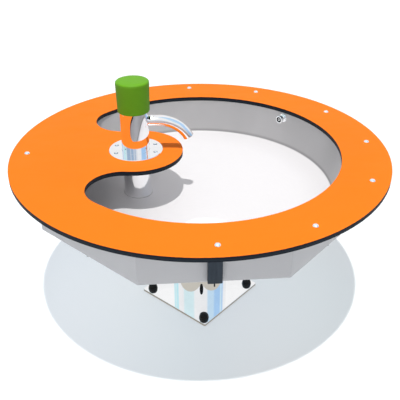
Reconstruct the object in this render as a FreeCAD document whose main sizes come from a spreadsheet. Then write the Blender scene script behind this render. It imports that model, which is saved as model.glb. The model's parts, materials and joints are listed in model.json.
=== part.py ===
import FreeCAD, Part
import Sketcher
import math
import os

# Outdoor water-play table: a round top with a basin in its opening, on a single leg, with a
# push-tap post and spout. Millimetres. The origin lies on the ground under the centre of the
# leg, +Z up. The tap post stands on the -X side, the covered skirt seam faces -Y.

V = FreeCAD.Vector
UP = V(0, 0, 1)
doc = FreeCAD.newDocument("WaterTable")
sheet = doc.addObject("Spreadsheet::Sheet", "Dims")


# ================= lengths driven by the sheet =================
class Dim:
    """A length that knows its value and the expression that gives it from the sheet."""

    def __init__(self, value, text):
        self.value = float(value)
        self.text = text

    def _join(self, sign, other, value):
        return Dim(value, "(%s %s %s)" % (self.text, sign, other.text))

    def __add__(self, other):
        other = as_dim(other)
        return self._join("+", other, self.value + other.value)

    def __sub__(self, other):
        other = as_dim(other)
        return self._join("-", other, self.value - other.value)

    def __mul__(self, other):
        other = as_dim(other)
        return self._join("*", other, self.value * other.value)

    def __truediv__(self, other):
        other = as_dim(other)
        return self._join("/", other, self.value / other.value)

    def __neg__(self):
        return Dim(-self.value, "(-1 * %s)" % self.text)


def as_dim(length):
    return length if isinstance(length, Dim) else Dim(length, repr(float(length)))


def is_driven(dim):
    return "Dims." in dim.text


def cosd(angle):
    return Dim(math.cos(math.radians(angle.value)), "cos(%s * 1deg)" % angle.text)


def sind(angle):
    return Dim(math.sin(math.radians(angle.value)), "sin(%s * 1deg)" % angle.text)


aliases = []


def cell(alias, value):
    """Write one named row of the sheet and return it as a Dim."""
    aliases.append(alias)
    row = len(aliases)
    sheet.set("A%d" % row, alias)
    sheet.set("B%d" % row, repr(value))
    sheet.setAlias("B%d" % row, alias)
    return Dim(value, "Dims." + alias)


# ---- driving dimensions; _r is a radius, _x, _y and _z are coordinates, angles in degrees ----
# table top
ring_outer_r = cell("ring_outer_r", 600.0)
ring_under_z = cell("ring_under_z", 562.0)
core_thickness = cell("core_thickness", 14.4)
decor_thickness = cell("decor_thickness", 0.6)
opening_r = cell("opening_r", 450.0)
lobe_r = cell("lobe_r", 100.0)
bulb_r = cell("bulb_r", 150.0)
post_offset = cell("post_offset", 206.0)
bolt_circle_r = cell("bolt_circle_r", 550.0)
bolt_angle_a = cell("bolt_angle_a", 28.4)
bolt_angle_b = cell("bolt_angle_b", 61.8)
bolt_hole_r = cell("bolt_hole_r", 5.5)
bolt_shank_r = cell("bolt_shank_r", 5.0)
bolt_head_r = cell("bolt_head_r", 8.7)
bolt_head_height = cell("bolt_head_height", 5.2)
# rim, skirt and seam cover
rim_outer_r = cell("rim_outer_r", 575.0)
rim_thickness = cell("rim_thickness", 4.0)
skirt_apothem = cell("skirt_apothem", 494.5)
skirt_thickness = cell("skirt_thickness", 2.0)
skirt_bottom_z = cell("skirt_bottom_z", 420.5)
cover_width = cell("cover_width", 40.0)
cover_thickness = cell("cover_thickness", 15.0)
cover_bottom_z = cell("cover_bottom_z", 424.0)
# basin and drain
bowl_top_r = cell("bowl_top_r", 455.0)
bowl_floor_r = cell("bowl_floor_r", 436.0)
bowl_floor_z = cell("bowl_floor_z", 439.4)
bowl_thickness = cell("bowl_thickness", 1.5)
drain_offset = cell("drain_offset", 300.0)
drain_seat_r = cell("drain_seat_r", 46.0)
drain_seat_z = cell("drain_seat_z", 408.0)
waste_pipe_r = cell("waste_pipe_r", 25.0)
waste_run_z = cell("waste_run_z", 285.0)
waste_bend_r = cell("waste_bend_r", 45.0)
# leg, base plate and hub
leg_r = cell("leg_r", 96.85)
leg_wall = cell("leg_wall", 3.0)
plate_side = cell("plate_side", 298.0)
plate_thickness = cell("plate_thickness", 8.0)
plate_hole_r = cell("plate_hole_r", 62.0)
anchor_circle_r = cell("anchor_circle_r", 174.0)
anchor_hole_r = cell("anchor_hole_r", 7.0)
hub_z = cell("hub_z", 360.0)
hub_thickness = cell("hub_thickness", 8.0)
hub_r = cell("hub_r", 130.0)
hub_bolt_circle_r = cell("hub_bolt_circle_r", 112.0)
web_thickness = cell("web_thickness", 6.0)
# tap post, push cap and spout
post_r = cell("post_r", 44.45)
post_wall = cell("post_wall", 2.0)
post_bottom_z = cell("post_bottom_z", 410.0)
post_top_z = cell("post_top_z", 740.0)
flange_r = cell("flange_r", 86.0)
flange_thickness = cell("flange_thickness", 4.0)
flange_screw_x = cell("flange_screw_x", 62.0)
flange_screw_y = cell("flange_screw_y", 28.5)
stem_r = cell("stem_r", 5.0)
cap_r = cell("cap_r", 50.0)
cap_rim_z = cell("cap_rim_z", 711.5)
cap_top_z = cell("cap_top_z", 808.0)
cap_inner_r = cell("cap_inner_r", 46.0)
spout_z = cell("spout_z", 676.6)
spout_r = cell("spout_r", 16.85)
spout_bore_r = cell("spout_bore_r", 14.85)
spout_bend_r = cell("spout_bend_r", 110.0)
spout_bend_start_x = cell("spout_bend_start_x", 72.5)
spout_sweep_angle = cell("spout_sweep_angle", 62.0)
# water feed and wall nozzle
hose_r = cell("hose_r", 8.0)
hose_run_z = cell("hose_run_z", 300.0)
hose_bend_r = cell("hose_bend_r", 40.0)
nozzle_angle = cell("nozzle_angle", 42.18)
nozzle_z = cell("nozzle_z", 541.3)
doc.recompute()

# ---- places that follow from them ----
core_top_z = ring_under_z + core_thickness
table_top_z = core_top_z + decor_thickness
rim_under_z = ring_under_z - rim_thickness
leg_top_z = hub_z - hub_thickness
hub_top_z = hub_z + hub_thickness
cap_ceiling_z = cap_top_z - 8.0
post_x = -post_offset
post_hole_r = post_r + 0.15
drain_y = -drain_offset
skirt_inner_r = skirt_apothem - skirt_thickness
bowl_slope = (bowl_top_r - bowl_floor_r) / (rim_under_z - bowl_floor_z)
nozzle_wall_r = bowl_floor_r + bowl_slope * (nozzle_z - bowl_floor_z)

OVERCUT = 5.0  # how far a through bore runs past each end


def about_z(angle):
    return FreeCAD.Rotation(UP, angle)


ALONG_X = FreeCAD.Rotation(V(0, 1, 0), 90)    # local Z turned to +X
ALONG_Y = FreeCAD.Rotation(V(1, 0, 0), -90)   # local Z turned to +Y
UPRIGHT = FreeCAD.Rotation(V(1, 0, 0), 90)    # a flat sketch stood up in the XZ plane


# ================= primitives and booleans =================
nodes = {}


def keep(name, obj):
    """Give a finished piece its own Label, which is its file name."""
    if name in nodes:
        raise RuntimeError("node %s is made twice" % name)
    obj.Label = name
    nodes[name] = obj
    return obj


def bind(obj, prop, size):
    """Set a property, by expression where the size comes from the sheet."""
    size = as_dim(size)
    if is_driven(size):
        obj.setExpression(prop, size.text)
    else:
        setattr(obj, prop, size.value)


def place(obj, x=0.0, y=0.0, z=0.0, rot=None):
    """Put an object at sheet-bound coordinates, with a fixed rotation."""
    x, y, z = as_dim(x), as_dim(y), as_dim(z)
    obj.Placement = FreeCAD.Placement(V(x.value, y.value, z.value), rot or FreeCAD.Rotation())
    for axis, coordinate in (("x", x), ("y", y), ("z", z)):
        if is_driven(coordinate):
            obj.setExpression("Placement.Base." + axis, coordinate.text)
    return obj


def primitive(kind, name, sizes, x, y, z, rot=None):
    part = doc.addObject("Part::" + kind, name)
    for prop, size in sizes.items():
        bind(part, prop, size)
    return place(part, x, y, z, rot)


def cyl(name, radius, height, x=0.0, y=0.0, z=0.0, rot=None):
    return primitive("Cylinder", name, {"Radius": radius, "Height": height}, x, y, z, rot)


def cone(name, bottom_r, top_r, height, x=0.0, y=0.0, z=0.0, rot=None):
    sizes = {"Radius1": bottom_r, "Radius2": top_r, "Height": height}
    return primitive("Cone", name, sizes, x, y, z, rot)


def box(name, size_x, size_y, size_z, x, y, z):
    sizes = {"Length": size_x, "Width": size_y, "Height": size_z}
    return primitive("Box", name, sizes, x, y, z)


def prism(name, corner_r, height, x=0.0, y=0.0, z=0.0, rot=None, sides=6):
    sizes = {"Circumradius": corner_r, "Height": height}
    part = primitive("Prism", name, sizes, x, y, z, rot)
    part.Polygon = sides
    return part


def torus(name, ring_r, wire_r, x, y, z, rot=None):
    return primitive("Torus", name, {"Radius1": ring_r, "Radius2": wire_r}, x, y, z, rot)


def fuse(name, *parts):
    fused = doc.addObject("Part::MultiFuse", name)
    fused.Shapes = list(parts)
    fused.Refine = True
    return fused


def cut(name, base, *tools):
    tool = tools[0] if len(tools) == 1 else fuse(name + "_tools", *tools)
    result = doc.addObject("Part::Cut", name)
    result.Base = base
    result.Tool = tool
    return result


def common(name, base, tool):
    result = doc.addObject("Part::Common", name)
    result.Base = base
    result.Tool = tool
    return result


def compound(name, *parts):
    result = doc.addObject("Part::Compound", name)
    result.Links = list(parts)
    return result


def bored(name, blank, bore_r, height, x=0.0, y=0.0, z=0.0):
    """A blank with an upright through bore; the height is the blank's."""
    return cut(name, blank, cyl(name + "_bore", bore_r, height + 2 * OVERCUT, x, y, z - OVERCUT))


def ring(name, outer_r, inner_r, height, x=0.0, y=0.0, z=0.0):
    """An upright plain ring or tube."""
    return bored(name, cyl(name + "_outside", outer_r, height, x, y, z), inner_r, height, x, y, z)


def hex_nut(name, corner_r, bore_r, height, x=0.0, y=0.0, z=0.0):
    return bored(name, prism(name + "_hex", corner_r, height, x, y, z), bore_r, height, x, y, z)


def swivel_nut(name, corner_r, height, thread_r, thread_depth, neck_r, x, y, z):
    """Hex nut bored wide from below for its thread and narrow above for the hose."""
    return cut(name, prism(name + "_hex", corner_r, height, x, y, z),
               cyl(name + "_thread", thread_r, thread_depth, x, y, z),
               cyl(name + "_neck", neck_r, 30.0, x, y, z - 2.0))


def group(name, unit, spots):
    """Separate solids: copies of one finished unit at each spot (x, y, z, turn about Z)."""
    doc.recompute()
    shapes = []
    for x, y, z, turn in spots:
        shape = unit.Shape.copy()
        spot = FreeCAD.Placement(V(x, y, z), about_z(turn))
        shape.Placement = spot.multiply(shape.Placement)
        shapes.append(shape)
    result = doc.addObject("Part::Feature", name + "_group")
    result.Shape = Part.makeCompound(shapes)
    return keep(name, result)


def circle_spots(circle_r, count):
    """Evenly spaced spots on a circle about the leg, each turned to face outwards."""
    step = 360.0 / count
    return [(circle_r.value * math.cos(math.radians(step * k)),
             circle_r.value * math.sin(math.radians(step * k)), 0, step * k)
            for k in range(count)]


# ================= sketches and bodies =================
def new_body(name):
    return doc.addObject("PartDesign::Body", name + "_body")


def new_sketch(body, name, role, offset=0.0):
    """A sketch on one of the body's origin planes, shifted along the plane's normal."""
    sketch = body.newObject("Sketcher::SketchObject", name)
    support = [f for f in body.Origin.OriginFeatures if f.Role == role][0]
    sketch.AttachmentSupport = [(support, "")]
    sketch.MapMode = "FlatFace"
    offset = as_dim(offset)
    sketch.AttachmentOffset = FreeCAD.Placement(V(0, 0, offset.value), FreeCAD.Rotation())
    if is_driven(offset):
        sketch.setExpression("AttachmentOffset.Base.z", offset.text)
    return sketch


def constrain(sketch, size, kind, *where):
    size = as_dim(size)
    index = sketch.addConstraint(Sketcher.Constraint(kind, *where, size.value))
    if is_driven(size):
        sketch.setExpression("Constraints[%d]" % index, size.text)


def join(sketch, kind, *where):
    sketch.addConstraint(Sketcher.Constraint(kind, *where))


def pin(sketch, geo, point, x, y):
    """Dimension one point from the sketch origin."""
    constrain(sketch, x, "DistanceX", -1, 1, geo, point)
    constrain(sketch, y, "DistanceY", -1, 1, geo, point)


def fix_radius(sketch, geo, radius):
    constrain(sketch, radius, "Radius", geo)


def add_line(sketch, start, end):
    return sketch.addGeometry(Part.LineSegment(V(start[0].value, start[1].value, 0),
                                               V(end[0].value, end[1].value, 0)), False)


def add_arc(sketch, x, y, radius, start, end):
    """An unconstrained arc from plain numbers, angles in radians."""
    return sketch.addGeometry(
        Part.ArcOfCircle(Part.Circle(V(x, y, 0), UP, radius), start, end), False)


def dim_points(points):
    return [(as_dim(x), as_dim(y)) for x, y in points]


def polygon(sketch, points):
    """A closed outline with every corner dimensioned from the origin."""
    points = dim_points(points)
    count = len(points)
    first = sketch.GeometryCount
    for i in range(count):
        add_line(sketch, points[i], points[(i + 1) % count])
    for i in range(count):
        join(sketch, "Coincident", first + i, 2, first + (i + 1) % count, 1)
    for i, (x, y) in enumerate(points):
        pin(sketch, first + i, 1, x, y)


def circle(sketch, x, y, radius):
    x, y, radius = as_dim(x), as_dim(y), as_dim(radius)
    geo = sketch.addGeometry(Part.Circle(V(x.value, y.value, 0), UP, radius.value), False)
    pin(sketch, geo, 3, x, y)
    fix_radius(sketch, geo, radius)


def above(base_z, outline):
    """Shift an outline of (radius, height over the base) to the base's height."""
    return [(radius, base_z + height) for radius, height in outline]


def pad(body, name, sketch, length):
    feature = body.newObject("PartDesign::Pad", name)
    feature.Profile = sketch
    bind(feature, "Length", length)


def turned(body, name, sketch):
    feature = body.newObject("PartDesign::Revolution", name)
    feature.Profile = sketch
    feature.ReferenceAxis = (sketch, ["V_Axis"])
    feature.Angle = 360


def revolve(name, outline, x=0.0, y=0.0, z=0.0, rot=None):
    """A turned piece: outline in (radius, height), turned about its own upright axis."""
    body = new_body(name)
    sketch = new_sketch(body, name + "_profile", "XZ_Plane")
    polygon(sketch, outline)
    turned(body, name + "_turned", sketch)
    return place(body, x, y, z, rot)


def round_edges(body, name, radius, wanted):
    """Fillet the edges of the body's last feature for which wanted(edge) holds."""
    doc.recompute()
    base = body.Tip
    names = ["Edge%d" % (i + 1) for i, edge in enumerate(base.Shape.Edges) if wanted(edge)]
    fillet = body.newObject("PartDesign::Fillet", name)
    fillet.Base = (base, names)
    fillet.Radius = radius


def drill_ring(body, name, x, y, z, hole_r, depth, count):
    """Drill one hole downwards from x, y, z and repeat it about the body's own Z axis."""
    doc.recompute()
    sketch = new_sketch(body, name + "_hole", "XY_Plane", z)
    circle(sketch, x, y, hole_r)
    pocket = body.newObject("PartDesign::Pocket", name + "_pocket")
    pocket.Profile = sketch
    pocket.Length = depth
    doc.recompute()
    pattern = body.newObject("PartDesign::PolarPattern", name + "_holes")
    pattern.Originals = [pocket]
    pattern.Axis = (sketch, ["N_Axis"])
    pattern.Angle = 360
    pattern.Occurrences = count
    body.Tip = pattern
    doc.recompute()
    if pattern.Shape.Volume >= pocket.Shape.Volume:
        raise RuntimeError("the holes of %s did not cut" % name)


# ================= swept bars and tubes =================
def sweep(name, section_r, path, start, rot=None, frenet=False):
    """A round bar along every edge of a path; the section stands at the path's start."""
    doc.recompute()
    section = doc.addObject("Part::Circle", name + "_section")
    bind(section, "Radius", section_r)
    section.Placement = FreeCAD.Placement(start, rot or FreeCAD.Rotation())
    bar = doc.addObject("Part::Sweep", name)
    bar.Sections = [section]
    bar.Spine = (path, ["Edge%d" % (i + 1) for i in range(len(path.Shape.Edges))])
    bar.Solid = True
    bar.Frenet = frenet
    return bar


def heading(start, end):
    """Unit direction of a straight that runs along one sketch axis."""
    steps = [b.value - a.value for a, b in zip(start, end)]
    return [math.copysign(1, step) if abs(step) > 1e-6 else 0.0 for step in steps]


def move(point, direction, distance):
    return tuple(c + distance * d for c, d in zip(point, direction))


def bent_path(name, corners, bend_r, x, y, turn):
    """Level and upright straights with equal quarter bends.

    The corners are (distance, height) in the upright plane through x, y turned about Z.
    """
    corners = dim_points(corners)
    bend_r = as_dim(bend_r)
    path = doc.addObject("Sketcher::SketchObject", name + "_path")
    lines, arcs = [], []
    start = corners[0]
    for before, corner, after in zip(corners, corners[1:], corners[2:]):
        coming, going = heading(before, corner), heading(corner, after)
        enter = move(corner, coming, -bend_r)
        leave = move(corner, going, bend_r)
        centre = move(enter, going, bend_r)
        lines.append((add_line(path, start, enter), start, enter))
        left_turn = coming[0] * going[1] - coming[1] * going[0] > 0
        angle = math.atan2(enter[1].value - centre[1].value, enter[0].value - centre[0].value)
        if not left_turn:
            angle -= math.pi / 2
        arc = add_arc(path, centre[0].value, centre[1].value, bend_r.value,
                      angle, angle + math.pi / 2)
        # arcs run anticlockwise, so a right turn enters at the arc's second end
        arcs.append((arc, (1, 2) if left_turn else (2, 1)))
        start = leave
    lines.append((add_line(path, start, corners[-1]), start, corners[-1]))
    for line, first, last in lines:
        pin(path, line, 1, *first)
        pin(path, line, 2, *last)
    for arc, (entry, leaving) in arcs:
        join(path, "Coincident", arc - 1, 2, arc, entry)
        join(path, "Coincident", arc + 1, 1, arc, leaving)
        fix_radius(path, arc, bend_r)
    return place(path, x, y, 0.0, about_z(turn).multiply(UPRIGHT))


def tube(name, outer_r, inner_r, corners, bend_r, x=0.0, y=0.0, turn=0.0):
    """A bent tube whose path starts with an upright straight."""
    bars = []
    for side, radius in (("_outside", outer_r), ("_inside", inner_r)):
        path = bent_path(name + side, corners, bend_r, x, y, turn)
        distance, height = dim_points(corners)[0]
        start = path.Placement.multVec(V(distance.value, height.value, 0))
        bars.append(sweep(name + side, radius, path, start))
    return cut(name, *bars)


# ================= table top =================
board_post_hole_r = post_r + 0.25
board_screw_hole_r = 4.4

zero = as_dim(0.0)
RING_SPOTS = [(bolt_circle_r, zero), (-bolt_circle_r, zero),
              (zero, bolt_circle_r), (zero, -bolt_circle_r)]
for bolt_angle in (bolt_angle_a, bolt_angle_b):
    bolt_x, bolt_y = bolt_circle_r * cosd(bolt_angle), bolt_circle_r * sind(bolt_angle)
    RING_SPOTS += [(bolt_x, bolt_y), (bolt_x, -bolt_y)]
FLANGE_SPOTS = [(post_x + flange_screw_x * i, flange_screw_y * j)
                for i in (-1.0, 1.0) for j in (-1.0, 1.0)]


def opening_outline(sketch):
    """The opening with its two hand bays either side of the peninsula that carries the post."""
    bulb_x = post_x.value
    # bay centres: inside the opening circle and outside the bulb, touching both
    from_centre, from_bulb = opening_r.value - lobe_r.value, bulb_r.value + lobe_r.value
    bay_x = (from_centre ** 2 - from_bulb ** 2 + bulb_x ** 2) / (2 * bulb_x)
    bay_y = math.sqrt(from_centre ** 2 - bay_x ** 2)
    full = 2 * math.pi
    opening_end = math.atan2(bay_y, bay_x)
    bulb_end = math.atan2(bay_y, bay_x - bulb_x)
    bay_end = math.atan2(-bay_y, bulb_x - bay_x) + full
    opening = add_arc(sketch, 0, 0, opening_r.value, -opening_end, opening_end)
    upper = add_arc(sketch, bay_x, bay_y, lobe_r.value, opening_end, bay_end)
    bulb = add_arc(sketch, bulb_x, 0, bulb_r.value, -bulb_end, bulb_end)
    lower = add_arc(sketch, bay_x, -bay_y, lobe_r.value, full - bay_end, full - opening_end)
    join(sketch, "Coincident", opening, 3, -1, 1)
    fix_radius(sketch, opening, opening_r)
    pin(sketch, bulb, 3, post_x, 0.0)
    fix_radius(sketch, bulb, bulb_r)
    fix_radius(sketch, upper, lobe_r)
    fix_radius(sketch, lower, lobe_r)
    join(sketch, "Tangent", opening, 2, upper, 1)
    join(sketch, "Tangent", upper, 2, bulb, 2)
    join(sketch, "Tangent", bulb, 1, lower, 1)
    join(sketch, "Tangent", lower, 2, opening, 1)


def board(name, z, thickness):
    """One layer of the table top with its bolt, post and flange screw holes."""
    body = new_body(name)
    sketch = new_sketch(body, name + "_outline", "XY_Plane", z)
    circle(sketch, 0.0, 0.0, ring_outer_r)
    opening_outline(sketch)
    for x, y in RING_SPOTS:
        circle(sketch, x, y, bolt_hole_r)
    circle(sketch, post_x, 0.0, board_post_hole_r)
    for x, y in FLANGE_SPOTS:
        circle(sketch, x, y, board_screw_hole_r)
    pad(body, name + "_pad", sketch, thickness)
    keep(name, body)


board("table_core", ring_under_z, core_thickness)
board("table_decor", core_top_z, decor_thickness)

# dome-headed bolts of the ring: (radius, height over the table top)
ring_bolt = revolve("ring_bolt_unit", above(table_top_z, [
    (0.0, -32.0), (bolt_shank_r - 0.6, -32.0), (bolt_shank_r, -31.4), (bolt_shank_r, 0.0),
    (bolt_head_r, 0.0), (bolt_head_r, 0.9), (bolt_head_r - 0.9, 2.4), (bolt_head_r - 2.4, 3.8),
    (bolt_head_r - 4.6, 4.8), (2.4, bolt_head_height), (0.0, bolt_head_height)]))
group("ring_bolts", ring_bolt, [(x.value, y.value, 0, 0) for x, y in RING_SPOTS])

# their flange nuts, each turned a little further than the last
nut_height = 10.0
nut_collar_r, nut_collar_height = 11.0, 2.0
nut_hex_r, nut_turn_step = 9.2, 15.0
nut_bottom_z = rim_under_z - nut_height
ring_nut_blank = fuse(
    "ring_nut_blank",
    prism("ring_nut_hex", nut_hex_r, nut_height - nut_collar_height, 0, 0, nut_bottom_z),
    cyl("ring_nut_collar", nut_collar_r, nut_collar_height, 0, 0,
        rim_under_z - nut_collar_height))
ring_nut = bored("ring_nut_unit", ring_nut_blank, bolt_shank_r + 0.05, nut_height,
                 z=nut_bottom_z)
group("ring_nuts", ring_nut,
      [(x.value, y.value, 0, nut_turn_step * i) for i, (x, y) in enumerate(RING_SPOTS)])


# ================= rim collar =================
def rim_flange():
    body = new_body("rim_flange")
    sketch = new_sketch(body, "rim_outline", "XY_Plane", rim_under_z)
    circle(sketch, 0.0, 0.0, rim_outer_r)
    circle(sketch, 0.0, 0.0, bowl_top_r)
    for x, y in RING_SPOTS:
        circle(sketch, x, y, bolt_hole_r)
    pad(body, "rim_pad", sketch, rim_thickness)
    keep("rim_flange", body)


rim_flange()

# ================= skirt and its covered seam =================
SEAM_SPOTS = [(-12.0, 450.0), (12.0, 450.0), (-12.0, 530.0), (12.0, 530.0)]  # screws (x, z)
seam_gap = 4.4
skirt_screw_hole_r = 2.7
HALF_SIDE_ANGLE = 22.5
corner_ratio = math.cos(math.radians(HALF_SIDE_ANGLE))  # apothem over corner radius


def skirt_panel():
    """Eight-sided sheet skirt, open at the seam in the middle of its -Y side."""
    height = rim_under_z - skirt_bottom_z
    below_z = skirt_bottom_z - 10.0
    turn = about_z(HALF_SIDE_ANGLE)
    outside = prism("skirt_outside", skirt_apothem / corner_ratio, height,
                    0, 0, skirt_bottom_z, turn, 8)
    inside = prism("skirt_inside", skirt_inner_r / corner_ratio, height + 20.0,
                   0, 0, below_z, turn, 8)
    gap = box("skirt_seam_gap", seam_gap, 20.0, height + 20.0,
              -seam_gap / 2, -(skirt_apothem + 10.0), below_z)
    holes = [cyl("skirt_screw_hole%d" % i, skirt_screw_hole_r, 20.0,
                 x, -(skirt_apothem + 10.0), z, ALONG_Y)
             for i, (x, z) in enumerate(SEAM_SPOTS)]
    keep("skirt_panel", cut("skirt", outside, inside, gap, *holes))


def seam_cover():
    """Bar over the seam, its outward face chamfered, with blind holes from the skirt side."""
    top_gap, chamfer, pilot_r, pilot_depth = 0.2, 1.6, 2.45, 10.99
    height = rim_under_z - top_gap - cover_bottom_z
    blank = box("cover_blank", cover_width, cover_thickness, height,
                -cover_width / 2.0, -(skirt_apothem + cover_thickness), cover_bottom_z)
    doc.recompute()
    front_y = -(skirt_apothem + cover_thickness).value
    chamfered = doc.addObject("Part::Chamfer", "cover_chamfered")
    chamfered.Base = blank
    chamfered.Edges = [(i + 1, chamfer, chamfer) for i, edge in enumerate(blank.Shape.Edges)
                       if all(abs(v.Point.y - front_y) < 1e-6 for v in edge.Vertexes)]
    pilots = [cyl("cover_pilot%d" % i, pilot_r, pilot_depth + 0.01,
                  x, -skirt_apothem - pilot_depth, z, ALONG_Y)
              for i, (x, z) in enumerate(SEAM_SPOTS)]
    keep("seam_cover", cut("cover", chamfered, *pilots))


def seam_seal():
    """T-shaped rubber strip between the skirt's ends, its stem hanging below the cover."""
    stem_bottom_z, head_bottom_z, top_gap = 402.0, 426.0, 2.0
    body = new_body("seam_seal")
    # each part: name, sketch name, half width, outer y, inner y, bottom height
    for name, section, half, outer_y, inner_y, bottom_z in (
            ("seal_stem", "seal_section", 2.0, -skirt_apothem, -(skirt_apothem - 3.5),
             stem_bottom_z),
            ("seal_head", "seal_head_section", 7.0, -skirt_inner_r, -(skirt_apothem - 4.0),
             head_bottom_z)):
        sketch = new_sketch(body, section, "XY_Plane", bottom_z)
        polygon(sketch, [(-half, outer_y), (half, outer_y), (half, inner_y), (-half, inner_y)])
        pad(body, name, sketch, rim_under_z - (bottom_z + top_gap))
    keep("seam_seal", body)


def seam_screws():
    """Slotted screws driven outwards from inside the skirt."""
    shank_reach = 10.4
    shank = cyl("seam_screw_shank", 2.4, 14.4, 0, -(skirt_apothem + shank_reach), 0, ALONG_Y)
    head = cone("seam_screw_head", 4.6, 3.4, 2.4, 0, -skirt_inner_r, 0, ALONG_Y)
    slot = box("seam_screw_slot", 7.0, 1.2, 1.0, -3.5, -(skirt_inner_r - 1.4), -0.5)
    screw = cut("seam_screw_unit", fuse("seam_screw_blank", shank, head), slot)
    group("seam_screws", screw, [(x, 0, z, 0) for x, z in SEAM_SPOTS])


skirt_panel()
seam_cover()
seam_seal()
seam_screws()


# ================= basin =================
def bowl_solid(name, growth, lift=0.0):
    """The basin's hollow grown outwards and carried up past its top by lift.

    A slightly conical wall stands over a floor that falls to the off-centre drain.
    """
    floor_z = bowl_floor_z - growth
    floor_r = bowl_floor_r + growth
    top_z = rim_under_z + lift
    body = new_body(name)
    floor_edge = new_sketch(body, name + "_floor_edge", "XY_Plane", floor_z)
    circle(floor_edge, 0.0, 0.0, floor_r)
    drain_seat = new_sketch(body, name + "_drain_seat", "XY_Plane", drain_seat_z - growth)
    circle(drain_seat, 0.0, drain_y, drain_seat_r)
    floor = body.newObject("PartDesign::AdditiveLoft", name + "_floor")
    floor.Profile = floor_edge
    floor.Sections = [drain_seat]
    floor.Ruled = True
    wall = new_sketch(body, name + "_wall_profile", "XZ_Plane")
    polygon(wall, [(0.0, floor_z), (floor_r, floor_z),
                   (bowl_top_r + growth + bowl_slope * lift, top_z), (0.0, top_z)])
    turned(body, name + "_wall", wall)
    return body


NOZZLE_ROT = about_z(nozzle_angle.value).multiply(ALONG_X)


def radial(make, name, start_r, *sizes):
    """A primitive along the nozzle's radial line, starting start_r from the leg's axis."""
    return make(name, *sizes, x=start_r * cosd(nozzle_angle), y=start_r * sind(nozzle_angle),
                z=nozzle_z, rot=NOZZLE_ROT)


bowl_drain_hole_r = 30.5
bowl_nozzle_hole_r = 6.3
bowl_outside = bowl_solid("bowl_outside", bowl_thickness)
bowl_inside = bowl_solid("bowl_inside", 0.0, 8.0)
keep("basin_bowl", cut(
    "bowl", bowl_outside, bowl_inside,
    cyl("bowl_drain_hole", bowl_drain_hole_r, 30.0, 0, drain_y, drain_seat_z - 15.0),
    cyl("bowl_post_hole", post_hole_r, 60.0, post_x, 0, 395.0),
    radial(cyl, "bowl_nozzle_hole", nozzle_wall_r - 10.0, bowl_nozzle_hole_r, 20.0)))

# ================= drain =================
bowl_under_drain_z = drain_seat_z - bowl_thickness
drain_thread_r = 30.0
drain_seal_t = 3.0
drain_nut_t = 9.0
strainer_underside = 1.55  # over the drain seat
strainer_t = 1.4

# flanged drain tube with a bar across it: (radius, height over the seat)
drain_turned = revolve("drain_body", above(drain_seat_z, [
    (26.0, -56.0), (drain_thread_r, -56.0), (drain_thread_r, 0.0), (43.0, 0.0), (43.0, 1.6),
    (42.0, 3.0), (37.0, 3.0), (37.0, 1.5), (26.0, 1.5)]), 0.0, drain_y)
drain_bar = box("drain_bar", 53.0, 8.0, 6.0, -26.5, drain_y - 4.0, drain_seat_z - 14.0)
keep("drain_body", cut("drain_fitting", fuse("drain_fitting_blank", drain_turned, drain_bar),
                       cyl("drain_bar_hole", 3.0, 20.0, 0, drain_y, drain_seat_z - 20.0)))


def drain_strainer():
    """Disc with a centre hole and two rings of holes."""
    disc_r, centre_hole_r, hole_r = 36.8, 3.2, 3.0
    body = new_body("drain_strainer")
    sketch = new_sketch(body, "strainer_disc", "XY_Plane", drain_seat_z + strainer_underside)
    circle(sketch, 0.0, 0.0, disc_r)
    circle(sketch, 0.0, 0.0, centre_hole_r)
    pad(body, "strainer_pad", sketch, strainer_t)
    for name, ring_r, count in (("strainer_inner", 14.0, 6), ("strainer_outer", 27.0, 12)):
        drill_ring(body, name, ring_r, 0.0, drain_seat_z + 4.0, hole_r, 10.0, count)
    place(body, 0.0, drain_y, 0.0)
    keep("drain_strainer", body)


drain_strainer()

# socket screw of the strainer: (radius, height over the drain seat)
strainer_top = strainer_underside + strainer_t
strainer_bolt = revolve("strainer_bolt_blank", above(drain_seat_z, [
    (0.0, -16.0), (2.9, -16.0), (2.9, strainer_top), (5.5, strainer_top), (5.3, 4.6),
    (3.4, 5.6), (0.0, 5.6)]), 0.0, drain_y)
keep("strainer_screw", cut("strainer_bolt", strainer_bolt,
                           prism("strainer_bolt_socket", 2.0, 3.0, 0, drain_y,
                                 drain_seat_z + 3.6)))
# gasket and hex nut under the bowl
keep("drain_seal", ring("drain_gasket", 41.0, drain_thread_r + 0.2, drain_seal_t,
                        0, drain_y, bowl_under_drain_z - drain_seal_t))
keep("drain_nut", hex_nut("drain_lock_nut", 44.0, drain_thread_r + 0.08, drain_nut_t,
                          0, drain_y, bowl_under_drain_z - drain_seal_t - drain_nut_t))
# stepped sleeve from the drain to the waste pipe: (radius, height over its lower end)
keep("waste_coupling", revolve("waste_coupling", above(drain_seat_z - 68.0, [
    (waste_pipe_r + 0.12, 0.0), (32.0, 0.0), (36.0, 4.0), (36.0, 26.0),
    (drain_thread_r + 0.08, 26.0), (drain_thread_r + 0.08, 11.5),
    (waste_pipe_r + 0.12, 11.5)]), 0.0, drain_y))

# waste pipe: down from the drain, back to the leg, down inside the leg; corners (y, z)
waste_wall = 1.8
waste_drop_y = -25.0
keep("waste_pipe", tube("waste", waste_pipe_r, waste_pipe_r - waste_wall,
                        [(drain_y, 350.0), (drain_y, waste_run_z),
                         (waste_drop_y, waste_run_z), (waste_drop_y, 20.0)],
                        waste_bend_r, turn=90.0))


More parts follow.
